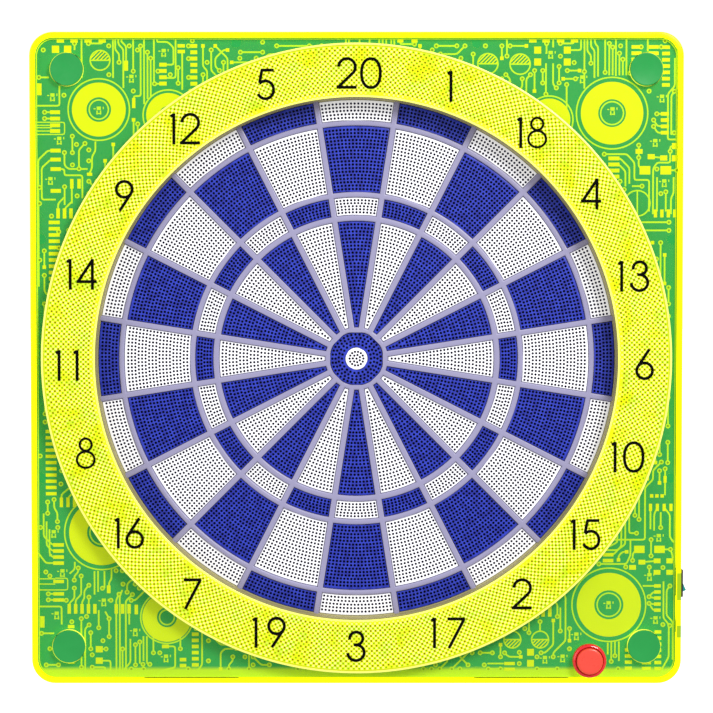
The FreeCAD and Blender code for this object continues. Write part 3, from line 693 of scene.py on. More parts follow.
def covered_by(polygons, cell=6.0):
    """A test of whether a flat point is in any of the polygons."""
    near = {}
    for polygon in polygons:
        xs, zs = [p[0] for p in polygon], [p[1] for p in polygon]
        for i in range(int(min(xs) // cell), int(max(xs) // cell) + 1):
            for j in range(int(min(zs) // cell), int(max(zs) // cell) + 1):
                near.setdefault((i, j), []).append(polygon)

    def covered(x, z):
        for polygon in near.get((int(x // cell), int(z // cell)), ()):
            inside = False
            for (ax, az), (bx, bz) in zip(polygon, polygon[1:] + polygon[:1]):
                if (az > z) != (bz > z) and x < ax + (z - az) * (bx - ax) / (bz - az):
                    inside = not inside
            if inside:
                return True
        return False

    return covered


def union_prism(shape, polygons, front, back):
    """A thin closed slab in the shape of many overlapping flat polygons together."""
    points, edges = [], []
    for polygon in polygons:
        base, count = len(points), len(polygon)
        edges += [(base + i, base + (i + 1) % count) for i in range(count)]
        points += [Vector(p) for p in polygon]
    made = delaunay_2d_cdt(points, edges, [], 0, 1e-5, False)
    flat = [(v.x, v.y) for v in made[0]]
    covered = covered_by(polygons)
    kept = [t for t in made[2]
            if covered(sum(flat[i][0] for i in t) / 3, sum(flat[i][1] for i in t) / 3)]
    used = sorted({i for t in kept for i in t})
    place = {i: number for number, i in enumerate(used)}
    fronts = shape.loop([flat[i] for i in used], front)
    backs = shape.loop([flat[i] for i in used], back)
    sides = {(t[i], t[(i + 1) % 3]) for t in kept for i in range(3)}
    for t in kept:
        shape.face([fronts[place[i]] for i in t])
        shape.face([backs[place[i]] for i in reversed(t)])
    for a, b in sorted(sides):
        if (b, a) not in sides:
            shape.face((fronts[place[b]], fronts[place[a]], backs[place[a]], backs[place[b]]))


def number_polygons(number, x, z):
    """A number's strokes as flat polygons, centred on a point."""
    text = str(number)
    width = sum(DIGIT_WIDTHS[d] for d in text)
    if len(text) == 2:
        width += GAP_AFTER_ONE[text[1]] if text[0] == "1" else GAP_AFTER_TWO
    polygons = []
    left = x - width / 2
    for digit in text:
        for line in digit_lines(digit):
            moved = [(left + px, z - NUMERAL_HEIGHT / 2 + pz) for px, pz in line]
            polygons += strip(moved, THIN_STROKE if digit == "8" else STROKE)
        left += DIGIT_WIDTHS[digit] + (width - sum(DIGIT_WIDTHS[d] for d in text))
    return polygons


numeral_black = plastic("numeral_black", colour(5, 5, 4), 0.9, 0.3, 80.0, Specular_IOR_Level=0.08)
for index, number in enumerate(SECTORS):
    a = math.radians(90 - STEP * index)
    nudge = NUDGES[number]
    numeral = Shape()
    polygons = number_polygons(
        number, NUMERAL_RADIUS * math.cos(a) + nudge[0], NUMERAL_RADIUS * math.sin(a) + nudge[1])
    union_prism(numeral, polygons, RING_FRONT, RING_FRONT + 0.3)
    numeral.piece(f"numeral_{number:02d}", [numeral_black], "case", "black_plastic")

# ---- front cover ----

CASE_HALF = 247.5
CASE_CORNER = 18.0
WALL = 4.0
CORNER_STEPS = 12
PLATE_BACK = -51.0
OPENING = 201.0
CAP_PLACES = [(x, z) for x in (-219.3, 219.3) for z in (-219.3, 219.3)]
CAP_HOLE = 12.7
CAP_RADIUS = 12.3
BUTTON_PLACE = (177.5, -230.0)
BUTTON_HOLE = 12.2
POST_PLACES = [(x, z) for x in (-91.0, 91.0) for z in (-239.5, 239.5)]
POST_PLACES += [(x, z) for x in (-239.5, 239.5) for z in (-91.0, 91.0)]
POST_RADIUS = 3.9
POST_TIP = -9.5
EDGE_RADIUS = 1.2
# Openings in the right wall, with flat points (y, z).
ROCKER_OPENING = [(-34.5, -183.0), (-21.5, -183.0), (-21.5, -164.0), (-34.5, -164.0)]
INLET_LOW, INLET_HIGH = -210.5, -204.9


def rounded_square(half, radius):
    """A square's outline with round corners, anticlockwise from the lower right corner."""
    points = []
    for corner, (sx, sz) in enumerate(((1, -1), (1, 1), (-1, 1), (-1, -1))):
        start = 90.0 * corner - 90.0
        x, z = sx * (half - radius), sz * (half - radius)
        points += arc(x, z, radius, radius, start, start + 90, CORNER_STEPS)
    return points


def in_rounded_square(x, z, half, radius):
    dx = max(abs(x) - (half - radius), 0.0)
    dz = max(abs(z) - (half - radius), 0.0)
    return abs(x) < half and abs(z) < half and math.hypot(dx, dz) < radius


def make_front_cover():
    """The tray, with slot 0 on the clear plate, 1 on the walls and 2 on the edges of its holes, which
    carry a painted highlight.
    """
    shape = Shape()
    rounding = [(EDGE_RADIUS, 0.0), (0.7, 0.15), (0.3, 0.45), (0.05, 0.85), (0.0, EDGE_RADIUS)]
    rings = [shape.loop(rounded_square(CASE_HALF - inset, CASE_CORNER - inset), PLATE_FRONT + y)
             for inset, y in rounding]
    rings.append(shape.loop(rounded_square(CASE_HALF, CASE_CORNER), 0.0))
    for a, b in zip(rings[:-2], rings[1:-1]):
        shape.band(a, b, 1)
    inner_line = rounded_square(CASE_HALF - WALL, CASE_CORNER - WALL)
    middle = shape.loop(inner_line, PLATE_FRONT)
    inner_back = shape.loop(inner_line, PLATE_BACK)
    inner_rim = shape.loop(inner_line, 0.0)
    count = len(inner_line)
    right = CORNER_STEPS

    def side(a, b, slot, skip):
        for i in range(count):
            if i != skip:
                j = (i + 1) % count
                shape.face((a[i], b[i], b[j], a[j]), slot)

    side(rings[-2], rings[-1], 1, right)
    side(inner_rim, inner_back, 1, right)
    side(rings[-1], inner_rim, 1, None)
    inlet = arc(-28.0, INLET_LOW, 1.9, 1.9, 180, 360, 8) + arc(-28.0, INLET_HIGH, 1.9, 1.9, 0, 180, 8)
    walls = []
    for x, front, loops in ((CASE_HALF, PLATE_FRONT + EDGE_RADIUS, (rings[-2], rings[-1])),
                            (CASE_HALF - WALL, PLATE_BACK, (inner_back, inner_rim))):
        span = CASE_HALF - CASE_CORNER
        frame_line = [(front, -span), (0.0, -span), (0.0, span), (front, span)]
        ids = [loops[0][right], loops[1][right], loops[1][right + 1], loops[0][right + 1]]
        holes = []
        for hole in (ROCKER_OPENING, inlet):
            base = len(shape.verts)
            shape.verts += [(x, y, z) for y, z in hole]
            holes.append(list(range(base, base + len(hole))))
        made = triangles([frame_line], lambda y, z: True, [ROCKER_OPENING, inlet])
        shape.flat(ids + holes[0] + holes[1], made, 1, back=x < CASE_HALF)
        walls.append(holes)
    for a, b in zip(*walls):
        shape.band(b, a, 1)
    loops = [circle(OPENING, 240)] + [circle(CAP_HOLE, 72, x, z) for x, z in CAP_PLACES]
    loops.append(circle(BUTTON_HOLE, 72, *BUTTON_PLACE))
    fronts, backs = [], []
    for loop in loops:
        a, b = shape.loop(loop, PLATE_FRONT), shape.loop(loop, PLATE_BACK)
        shape.band(b, a, 2)
        fronts += a
        backs += b
    edge_line = rounded_square(CASE_HALF - EDGE_RADIUS, CASE_CORNER - EDGE_RADIUS)
    ids = rings[0] + middle + fronts
    flat = edge_line + inner_line + [p for loop in loops for p in loop]
    for t in triangles([edge_line, inner_line], lambda x, z: True, loops):
        x = sum(flat[i][0] for i in t) / 3
        z = sum(flat[i][1] for i in t) / 3
        clear = in_rounded_square(x, z, CASE_HALF - WALL, CASE_CORNER - WALL)
        shape.face([ids[i] for i in t], 0 if clear else 1)
    posts = [circle(POST_RADIUS, 32, x, z) for x, z in POST_PLACES]
    for loop in posts:
        a, b = shape.loop(loop, PLATE_BACK), shape.loop(loop, POST_TIP)
        shape.band(a, b, 1)
        shape.face(b[::-1], 1)
        backs += a
    back = triangles([inner_line], lambda x, z: True, loops + posts)
    shape.flat(inner_back + backs, back, back=True)
    return shape


PLATE_ALPHA = 0.025


def clear_material():
    """Nearly clear plate with a slight yellow tint and faint moulding flow."""
    n = Nodes("clear_plate")
    tone = n.mix(n.noise(8.0), colour(226, 250, 60), colour(240, 255, 90))
    n.bump(n.noise(26.0, 1.0), 0.15, 0.0002)
    return n.set(Base_Color=tone, Roughness=n.gloss(60.0, 0.05, 0.1), Alpha=PLATE_ALPHA, IOR=1.49)


FADE = 0.0006


def case_material():
    """Fluorescent wall plastic with a painted glow, and painted shade on the right wall where the
    switch and the inlet would show through it.
    """
    n = Nodes("case_yellow")
    x, _, z = n.axes()
    # Painted shade: two bands on the right wall, darker where the switch and the inlet lie behind it.
    right_wall = n.span(x, 0.2438, 0.2444)
    bands = []
    for low, high in ((-0.1842, -0.1628), (-0.2128, -0.2028)):
        bands.append(n.times(n.span(z, low, low + FADE), n.span(z, high, high - FADE)))
    painted_wall_shade = n.times(right_wall, n.math("MAXIMUM", *bands))
    tone = n.mix(n.noise(12.0), colour(248, 248, 0), colour(255, 255, 0))
    tone = n.mix(n.times(painted_wall_shade, 0.8), tone, colour(96, 150, 20))
    n.bump(n.noise(1800.0, 2.0), 0.25, 0.000004)
    # Painted glow: the emission stands in for the plastic's fluorescence.
    n.feed(n.shader.inputs["Emission Color"], tone)
    return n.set(Base_Color=tone, Roughness=n.gloss(48.0, 0.19, 0.25), Emission_Strength=0.35,
                 Specular_IOR_Level=0.2)


case_yellow = case_material()
# Painted highlight: the edges of the plate's holes in pale yellow with a glow.
hole_edge_highlight = plastic("plate_hole_edge_highlight", colour(250, 255, 90), 0.15, 0.02, 30.0,
                    Emission_Color=colour(245, 255, 80), Emission_Strength=0.7)
make_front_cover().piece(
    "clear_front_tray", [clear_material(), case_yellow, hole_edge_highlight], "case", "clear_yellow",
    ["front_cover"], 30.0)

# ---- corner caps ----

corner_caps = Shape()
for x, z in CAP_PLACES:
    profile = [(1.2, -54.93), (11.4, -55.22), (11.9, -55.3), (12.15, -55.25), (CAP_RADIUS, -55.08),
               (CAP_RADIUS, -52.8), (6.8, -52.8), (6.8, -40.8)]
    turned_cap(corner_caps, profile, 72, x, z)


def cap_material():
    """Moulded green plastic with a brushed sheen."""
    n = Nodes("cap_green")
    tone = n.mix(n.noise(70.0), colour(22, 150, 64), colour(34, 162, 74))
    n.bump(n.noise(2400.0, 2.0), 0.2, 0.000006)
    return n.set(Base_Color=tone, Roughness=n.gloss(240.0, 0.3, 0.4), Anisotropic=0.6)


corner_caps.piece("corner_discs", [cap_material()], "case", "cap_green", ["corner_caps"], 25.0)

# ---- push button ----

BUTTON_FRONT = box_mm("button_body")[0].y
BUTTON_BORE = 10.4
BUTTON_NECK = 11.9
BUTTON_FLANGE = 13.0
CUP_BACK = -26.6
CUP_FLOOR = (-38.0, -35.9)
bezel = Shape()
lathe(bezel, [
    (BUTTON_BORE, CUP_FLOOR[0]), (BUTTON_BORE, BUTTON_FRONT + 0.9), (10.6, BUTTON_FRONT + 0.35),
    (11.0, BUTTON_FRONT + 0.05), (11.4, BUTTON_FRONT), (12.1, BUTTON_FRONT + 0.28),
    (12.65, BUTTON_FRONT + 0.85), (12.93, BUTTON_FRONT + 1.6), (BUTTON_FLANGE, BUTTON_FRONT + 2.3),
    (BUTTON_FLANGE, PLATE_FRONT), (BUTTON_NECK, PLATE_FRONT), (BUTTON_NECK, CUP_BACK),
    (BUTTON_BORE, CUP_BACK), (BUTTON_BORE, CUP_FLOOR[1]), (1.0, CUP_FLOOR[1]), (1.0, CUP_FLOOR[0]),
], 96, *BUTTON_PLACE)
CAP_FRONT = box_mm("button_cap")[0].y
CAP_BACK = -50.0
STEM_RADIUS, STEM_TIP = 2.2, -30.4
push = Shape()
turned_cap(push, [
    (0.6, CAP_FRONT + 0.25), (4.0, CAP_FRONT + 0.2), (7.6, CAP_FRONT), (8.9, CAP_FRONT + 0.08),
    (9.55, CAP_FRONT + 0.42), (9.9, CAP_FRONT + 1.0), (10.0, CAP_FRONT + 1.7), (10.0, CAP_BACK),
    (STEM_RADIUS, CAP_BACK), (STEM_RADIUS, STEM_TIP),
], 96, *BUTTON_PLACE)
bezel_red = plastic(
    "button_red_bezel", colour(232, 24, 36), 0.16, 0.05, 60.0, 2600.0, 0.000004, Coat_Weight=0.5)
cap_red = plastic("button_red_cap", colour(244, 74, 58), 0.3, 0.05, 60.0, 2600.0, 0.000006)
bezel.piece("button_bezel", [bezel_red], "case", "button_red_bezel", ["button_body"], 28.0)
push.piece("button_push", [cap_red], "button", "button_red_cap", ["button_cap"], 28.0)

# ---- artwork film ----


def film_material():
    """Printed film, with the deeper green of a solder mask and painted light: a paler strip along the
    bottom wall.
    """
    n = Nodes("film_green")
    tone = n.mix(n.noise(14.0), colour(0, 150, 72), colour(6, 162, 84))
    tone = n.mix(n.gloss(900.0, 0.0, 0.12), tone, colour(2, 148, 62))
    # Painted light: a pale strip where the glowing bottom wall would light the film.
    tone = n.mix(n.span(n.axes()[2], -0.2345, -0.2385), tone, colour(180, 222, 40))
    return n.set(Base_Color=tone, Roughness=n.gloss(90.0, 0.4, 0.55), Specular_IOR_Level=0.15)


FILM_EDGE = 243.4
film_low, film_high = box_mm("artwork_film")
film = Shape()
film_loops = [rounded_square(FILM_EDGE, 13.9), circle(OPENING, 240)[::-1]]
film_loops += [circle(CAP_HOLE, 48, x, z)[::-1] for x, z in CAP_PLACES]
film_loops.append(circle(BUTTON_HOLE + 0.2, 48, *BUTTON_PLACE)[::-1])
film_fronts = [film.loop(loop, film_low.y) for loop in film_loops]
film_backs = [film.loop(loop, film_high.y) for loop in film_loops]
for a, b in zip(film_fronts, film_backs):
    film.band(a, b)


def on_film(x, z):
    if math.hypot(x, z) < OPENING or math.dist((x, z), BUTTON_PLACE) < BUTTON_HOLE:
        return False
    return all(math.dist((x, z), place) > CAP_HOLE for place in CAP_PLACES)


film_faces = triangles(film_loops, on_film)
film.flat([i for ids in film_fronts for i in ids], film_faces)
film.flat([i for ids in film_backs for i in ids], film_faces, back=True)
film.piece("printed_film", [film_material()], "case", "film_green", ["artwork_film"])


# ---- the other parts that stay as they are ----


def rubber(name, base):
    return plastic(name, base, 0.75, 0.15, 110.0, 1400.0, 0.00004)


def board_material():
    """Circuit board with faint copper lines under a green mask."""
    n = Nodes("circuit_board")
    x, _, z = n.axes()
    lines = n.times(n.math("SINE", n.times(x, 2400.0)), n.math("SINE", n.times(z, 1500.0)))
    tone = n.mix(n.span(lines, 0.55, 0.8, 0.0, 0.6), colour(18, 92, 46), colour(48, 140, 78))
    return n.set(Base_Color=tone, Roughness=n.gloss(300.0, 0.3, 0.45))


def paper_material():
    """Pressed speaker paper with fine fibres."""
    n = Nodes("speaker_paper")
    n.bump(n.noise(1500.0, 6.0), 0.5, 0.00008)
    tone = n.mix(n.noise(500.0), colour(34, 32, 30), colour(58, 54, 50))
    return n.set(Base_Color=tone, Roughness=n.gloss(400.0, 0.8, 0.95))


screw_steel = metal("screw_steel", (0.62, 0.63, 0.66, 1.0), 0.3)
looks = {
    "chassis_frame": plastic("inner_frame", colour(58, 150, 84), 0.5, 0.05, 30.0),
    "number_ring_screws": screw_steel,
    "spider_screws": screw_steel,
    "backing_screws": screw_steel,
    "rear_cover_screws": metal("screw_black", (0.06, 0.06, 0.065, 1.0), 0.4),
    "control_board_screws": screw_steel,
    "charge_board_screws": screw_steel,
    "rubber_sheet": rubber("black_rubber", colour(26, 26, 28)),
    "foot_pads": rubber("foot_rubber", colour(46, 50, 38)),
    "sensor_film_front": plastic("film_clear", colour(206, 210, 200), 0.3, 0.03, 40.0),
    "sensor_film_rear": plastic("film_clear_rear", colour(200, 206, 198), 0.3, 0.03, 40.0),
    "sensor_spacer": plastic("film_spacer", colour(226, 224, 210), 0.5, 0.04, 60.0),
    "backing_plate": plastic("backing_board", colour(120, 96, 66), 0.8, 0.18, 140.0, 900.0, 0.00006),
    "rear_cover": plastic("black_plastic", colour(30, 31, 33), 0.5, 0.1, 40.0, 1500.0, 0.00004),
    "control_board": board_material(),
    "charge_board": board_material(),
    "control_board_parts": plastic("chip_black", colour(28, 28, 30), 0.45, 0.15, 200.0),
    "ribbon_tail": plastic("ribbon_grey", colour(190, 192, 188), 0.4, 0.05, 90.0),
    "ribbon_connector": plastic("connector_white", colour(232, 228, 214), 0.4, 0.03, 90.0),
    "speaker_frame": metal("speaker_steel", (0.5, 0.5, 0.52, 1.0), 0.4),
    "speaker_cone": paper_material(),
    "battery_pack": plastic("battery_wrap", colour(58, 96, 176), 0.3, 0.05, 50.0, 1200.0, 0.00001),
    "charge_socket": metal("socket_steel", (0.66, 0.67, 0.69, 1.0), 0.25),
    "button_spring": metal("spring_steel", (0.55, 0.56, 0.58, 1.0), 0.25),
    "button_switch": plastic("switch_black", colour(24, 24, 26), 0.5, 0.12, 120.0),
    "rocker_housing": plastic("rocker_black", colour(44, 16, 14), 0.35, 0.12, 90.0, 2200.0, 0.00001),
    "rocker_lever": plastic("rocker_teal", colour(0, 150, 150), 0.3, 0.06, 90.0, 2200.0, 0.00001),
    "rocker_terminals": metal("terminal_brass", (0.72, 0.53, 0.25, 1.0), 0.3),
    "button_wires": plastic("wire_red", colour(180, 24, 20), 0.45, 0.08, 120.0),
    "rocker_wires": plastic("wire_red_rocker", colour(184, 30, 22), 0.45, 0.08, 120.0),
    "battery_wires": plastic("wire_red_battery", colour(176, 22, 24), 0.45, 0.08, 120.0),
}
for node, material in looks.items():
    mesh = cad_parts[node].data
    mesh.materials.clear()
    mesh.materials.append(material)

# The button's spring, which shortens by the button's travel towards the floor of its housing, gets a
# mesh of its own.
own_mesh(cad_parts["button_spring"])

# ---- printed circuit pattern ----

TRACE = 1.3
VIA = 1.85
VIA_HOLE = 0.85
OUTLINE_REACH = 242.4
FILM_FRONT = -50.8
CELL = 3.1
RING_EDGE = 206
FILL_REACH = 238
LONGEST_ROUTE = 26
TURN_CHANCE = 0.16
LONE_VIA_CHANCE = 0.2
END_VIA_CHANCE = 0.75
WANDER_TRIES = 9000
print_random = random.Random(11)


def bent(points, radius=1.6):
    """A line with its corners eased by short arcs."""
    eased = [points[0]]
    for before, corner, after in zip(points, points[1:], points[2:]):
        a, b, c = Vector(before), Vector(corner), Vector(after)
        reach = min(radius, (a - b).length / 2, (c - b).length / 2)
        start, end = b + (a - b).normalized() * reach, b + (c - b).normalized() * reach
        eased += [tuple(start), tuple((start + end) / 4 + b / 2), tuple(end)]
    return eased + [points[-1]]


def rectangle(x, z, width, height):
    w, h = width / 2, height / 2
    return [(x - w, z - h), (x + w, z - h), (x + w, z + h), (x - w, z + h)]


def middle_of(cell):
    return (cell[0] + 0.5) * CELL, (cell[1] + 0.5) * CELL


class Print:
    """Flat polygons of the pattern in three inks, and the cells that they fill."""

    def __init__(self):
        self.traces, self.pads, self.centres = [], [], []
        self.full = set()

    def fill(self, x, z, reach):
        low_x, high_x = int((x - reach) // CELL), int((x + reach) // CELL)
        low_z, high_z = int((z - reach) // CELL), int((z + reach) // CELL)
        for i in range(low_x, high_x + 1):
            for j in range(low_z, high_z + 1):
                cx, cz = middle_of((i, j))
                if math.hypot(cx - x, cz - z) < reach + CELL * 0.6:
                    self.full.add((i, j))

    def trace(self, *points, width=TRACE):
        self.traces += strip(bent(list(points)), width)
        for a, b in zip(points, points[1:]):
            count = int(math.dist(a, b) / CELL) + 1
            for i in range(count + 1):
                self.fill(a[0] + (b[0] - a[0]) * i / count, a[1] + (b[1] - a[1]) * i / count, 0.6)

    def tracks(self, *lines):
        for points in lines:
            self.trace(*points)

    def via(self, *places):
        for x, z in places:
            self.traces.append(circle(VIA, 20, x, z))
            self.centres.append(circle(VIA_HOLE, 12, x, z))
            self.fill(x, z, VIA)

    def pad(self, width, height, *places):
        for x, z in places:
            self.pads.append(rectangle(x, z, width, height))
            self.fill(x, z, (width + height) / 3)

    def row(self, width, height, x, z, dx, dz, count):
        self.pad(width, height, *[(x + dx * i, z + dz * i) for i in range(count)])

    def ring(self, x, z, outer, inner, ink=None, count=72):
        ink = self.traces if ink is None else ink
        ink += strip(arc(x, z, (outer + inner) / 2, (outer + inner) / 2, 0, 360, count), outer - inner)

    def target(self, x, z, line, outer, inner, eye):
        """A broad ring between two thin ones."""
        self.ring(x, z, outer, inner, self.pads, 96)
        if line:
            self.ring(x, z, line, line - 1.1, None, 96)
        if eye:
            self.ring(x, z, eye, eye - 1.1)
        self.fill(x, z, max(line, outer) + 1.5)

    def hatched(self, x, z, radius, start, lean):
        """A round outline, half of it hatched."""
        self.ring(x, z, radius, radius - 1.1, None, 48)
        a, b = math.radians(start), math.radians(start + 180)
        self.traces += strip([(x + radius * math.cos(a), z + radius * math.sin(a)),
                              (x + radius * math.cos(b), z + radius * math.sin(b))], 1.1)
        away = Vector((math.cos(math.radians(start + 90)), math.sin(math.radians(start + 90))))
        along = Vector((math.cos(math.radians(start + lean)), math.sin(math.radians(start + lean))))
        for i in range(-4, 5):
            inside = []
            origin = Vector((x, z)) + Vector((away.y, -away.x)) * i * 2.9
            for step in range(60):
                p = origin + along * step * 0.3
                if (p - Vector((x, z))).length < radius - 0.6 and (p - Vector((x, z))).dot(away) > 0:
                    inside.append(tuple(p))
            if len(inside) > 4:
                self.pads += strip([inside[0], inside[-1]], 0.9)
        self.fill(x, z, radius + 1)

    def parts(self, *places):
        """Small generic component marks: a body on legs with a tick either side."""
        for x, z in places:
            for dx, dz, width, height in (
                    (0, 1.6, 3.2, 2.6), (-1.3, -1.6, 1.0, 3.0), (1.3, -1.6, 1.0, 3.0),
                    (0, -2.4, 3.8, 0.8), (-3.2, 1.2, 1.6, 0.8), (3.4, 1.8, 0.8, 1.8)):
                self.traces.append(rectangle(x + dx, z + dz, width, height))
            self.fill(x, z, 3.6)

    def free(self, cell):
        x, z = middle_of(cell)
        in_reach = math.hypot(x, z) > RING_EDGE and max(abs(x), abs(z)) < FILL_REACH
        return in_reach and cell not in self.full

    def wander(self, tries):
        """Fills what is left with traces that run straight, turn by eighths and end on vias or pads."""
        ways = [(1, 0), (1, 1), (0, 1), (-1, 1), (-1, 0), (-1, -1), (0, -1), (1, -1)]
        for _ in range(tries):
            cell = (print_random.randrange(-77, 78), print_random.randrange(-77, 78))
            way = print_random.choice((0, 2, 4, 6))
            if not self.free(cell):
                continue
            route, run = [cell], 0
            while len(route) < LONGEST_ROUTE:
                i, j = route[-1]
                step = (i + ways[way][0], j + ways[way][1])
                turns = run > 3 and print_random.random() < TURN_CHANCE
                if turns or not self.free(step) or step in route:
                    way, run = (way + print_random.choice((-1, 1))) % 8, 0
                    step = (i + ways[way][0], j + ways[way][1])
                    if not self.free(step) or step in route:
                        break
                route.append(step)
                run += 1
            if len(route) < 4:
                if print_random.random() < LONE_VIA_CHANCE:
                    self.via(middle_of(cell))
                continue
            steps = [(b[0] - a[0], b[1] - a[1]) for a, b in zip(route, route[1:])]
            corners = [cell for cell, a, b in zip(route[1:], steps, steps[1:]) if a != b]
            self.trace(*[middle_of(cell) for cell in [route[0]] + corners + [route[-1]]])
            for cell in (route[0], route[-1]):
                if print_random.random() < END_VIA_CHANCE:
                    self.via(middle_of(cell))
                else:
                    self.pad(2.7, 2.7, middle_of(cell))
            self.full.update(route)


board = Print()
for x, z in CAP_PLACES:
    board.fill(x, z, CAP_RADIUS + 0.6)
board.fill(*BUTTON_PLACE, BUTTON_HOLE + 1)
for x, z in POST_PLACES:
    board.fill(x, z, POST_RADIUS + 1)
outline = rounded_square(OUTLINE_REACH, 13.0)
board.traces += strip(outline + outline[:1], 0.8)

# Upper left.
board.target(-195.3, 189.1, 23.8, 20.4, 9.3, 7.8)
board.target(-142.6, 184.8, 19.7, 16.8, 7, 0)
board.hatched(-194.2, 226.3, 8, 0, 45)
for x in (-224.2, -213.8, -203.2, -192.5):
    board.pad(5.5, 2.6, (x, 240.9))
board.pad(5.5, 5.5, (-227.9, 234.6), (-218.7, 234.6))
board.pad(3, 7.6, (-174.5, 222.2))
board.pad(2.5, 7.6, (-168.8, 194))
board.row(5.6, 2.9, -146.6, 223, 0, -4.75, 4)
board.pad(5.6, 2.6, (-132.7, 237.2), (-132.7, 232.9))
board.row(5.2, 2.9, -123.2, 237.1, 0, -4.75, 7)
board.parts((-146, 232), (-170.5, 212.5), (-195.3, 188.5), (-230.4, 198.5), (-225.4, 165.7),
            (-232.2, 135.2))
board.pad(3.4, 9, (-240.3, 204.4))
board.pad(7.6, 2.9, (-228.5, 187.1), (-228.5, 182.3), (-228.5, 177.2), (-228.5, 172.9))
for z in (179.5, 177.2, 175.4, 172.9):
    board.trace((-243, z), (-231, z), width=0.9)
board.trace((-243, 170.3), (-221.3, 170.3), (-221.3, 179.5), (-231, 179.5), width=0.9)
board.pad(7.8, 2.9, (-228.2, 158.1), (-228.2, 151.3), (-228.2, 144.1), (-228.2, 127.6))
board.pad(4, 2.4, (-202.5, 140.2))
board.pad(2.6, 7.3, (-216, 133), (-210.5, 133))
board.via(
    (-213.5, 239), (-203, 239), (-179.8, 224.8), (-169.1, 218.1), (-169.1, 203.1), (-163.5,
    237.1), (-158.3, 232.4), (-155.9, 227.8), (-150.4, 218.1), (-153, 208.6), (-135.1, 220.7),
    (-135.1, 209), (-127.2, 237.1), (-127.2, 227.6), (-127.2, 213.4), (-124.3, 241), (-240.6,
    213.4), (-236.4, 187.1), (-236.4, 182.3), (-221.5, 156.6), (-205.9, 163.5), (-203, 158.6),
    (-210.5, 144.4), (-221.5, 130.7), (-212, 123.8), (-240.6, 130.2))
board.tracks(
    ((-213.5, 239), (-213.5, 234)), ((-203, 239), (-192.5, 239), (-192.5, 241)),
    ((-208.2, 242), (-208.2, 213)), ((-184.4, 242), (-184.4, 213)), ((-182.7, 242), (-182.7,
    234.2), (-179.8, 231.2), (-179.8, 224.8)), ((-180.4, 242), (-180.4, 238.5), (-176.6, 234.7),
    (-176.6, 205.4)), ((-178, 242), (-178, 240.4), (-174.5, 237), (-174.5, 222)), ((-169.1,
    242), (-169.1, 218.1)), ((-163.5, 237.1), (-163.5, 199.3), (-168.8, 199.3), (-168.8, 194)),
    ((-160.9, 242), (-160.9, 193.2)), ((-158.3, 232.4), (-158.3, 197)), ((-155.9, 227.8), (-155.9,
    198.6)), ((-153.4, 242), (-153.4, 208.6), (-146.6, 208.6)), ((-151, 242), (-151, 240.2),
    (-143, 240.2), (-138.6, 236), (-138.6, 223), (-144, 223)), ((-137, 242), (-137,
    213), (-144, 213)), ((-135.1, 220.7), (-135.1, 209)), ((-132, 232.9), (-132,
    204)), ((-240.6, 213.4), (-233, 213.4)), ((-242, 192), (-225.1, 192), (-225.1, 207)),
    ((-236.4, 187.1), (-230, 187.1)), ((-236.4, 182.3), (-230, 182.3)), ((-228.2, 158.1), (-234,
    158.1), (-241.4, 151), (-241.4, 120)), ((-228.2, 151.3), (-232, 151.3), (-238.8, 145),
    (-238.8, 121), (-228.2, 121)), ((-221.5, 156.6), (-221.5, 147), (-218.6, 144.2), (-204,
    144.2)), ((-228.2, 144.1), (-221.6, 144.1), (-221.6, 139.4), (-208, 139.4), (-208, 122)),
    ((-205.9, 163.5), (-210.5, 158.6), (-210.5, 144.4)), ((-198, 165), (-198, 158), (-200.6,
    153.4), (-200.6, 145), (-202.5, 141)), ((-221.5, 130.7), (-221.5, 117)), ((-216, 133),
    (-216, 118)))

# Down the left side.
board.row(8.4, 2.7, -229.5, 103.7, 0, -4.75, 11)
board.row(2.7, 7.6, -226.5, 110.5, 4.9, 0, 3)
board.via(
    (-240.6, 118), (-240.6, 75.1), (-231.5, 108.5), (-226.1, 96.7), (-226.1, 84.5))
board.tracks(
    ((-241.4, 120), (-241.4, 55)), ((-226.5, 110.5), (-226.5, 118), (-222, 122.5)),
    ((-221.6, 110.5), (-221.6, 114), (-216, 119.5)))

# Upper right.
board.target(193.7, 186.4, 27.6, 23.7, 10.5, 9.2)
board.target(146.1, 181.4, 18.5, 16, 7, 0)
board.hatched(123.9, 223.4, 8.2, 0, 45)
board.hatched(99.5, 223.7, 8.2, 0, 45)
board.hatched(213.1, 118.2, 10.2, 90, -45)
board.pad(5.6, 2.6, (133.5, 241), (143.5, 241), (154.5, 241), (165, 241))
board.pad(5.3, 5.3, (137.2, 234), (137.2, 225), (159.6, 234), (159.6, 225))
for x, z in ((191.4, 239), (194, 236.2), (199.1, 231.6), (201.7, 227)):
    board.trace((x, z), (x, 215))
board.row(7.6, 2.7, 212, 236.4, 0, -4.75, 3)
board.pad(7.6, 2.7, (225, 236.4), (225, 231.6))
board.row(5.9, 2.7, 234.4, 236.2, 0, -4.75, 7)
board.row(6.1, 2.8, 233.7, 185.9, 0, -4.75, 4)
for x, z, dz in ((227.6, 185.9, 0), (225.2, 181.2, -4.6), (225.2, 176.4, -4.8)):
    board.via((x, z))
    board.trace((x, z), (228.2, z + dz), (233.7, z + dz))
board.pad(5.4, 3.6, (214.3, 157.5))
board.pad(8.2, 6.4, (218.8, 143.2), (234.6, 143.2))
board.pad(5.4, 3.9, (223.5, 153.5), (233, 152.5))
board.pad(5.6, 4.6, (242, 161.5), (242, 152.3))
board.row(8.4, 2.9, 195.2, 152.2, 0, -4.6, 4)
board.row(2.5, 6, 226.9, 110.5, 4.9, 0, 4)
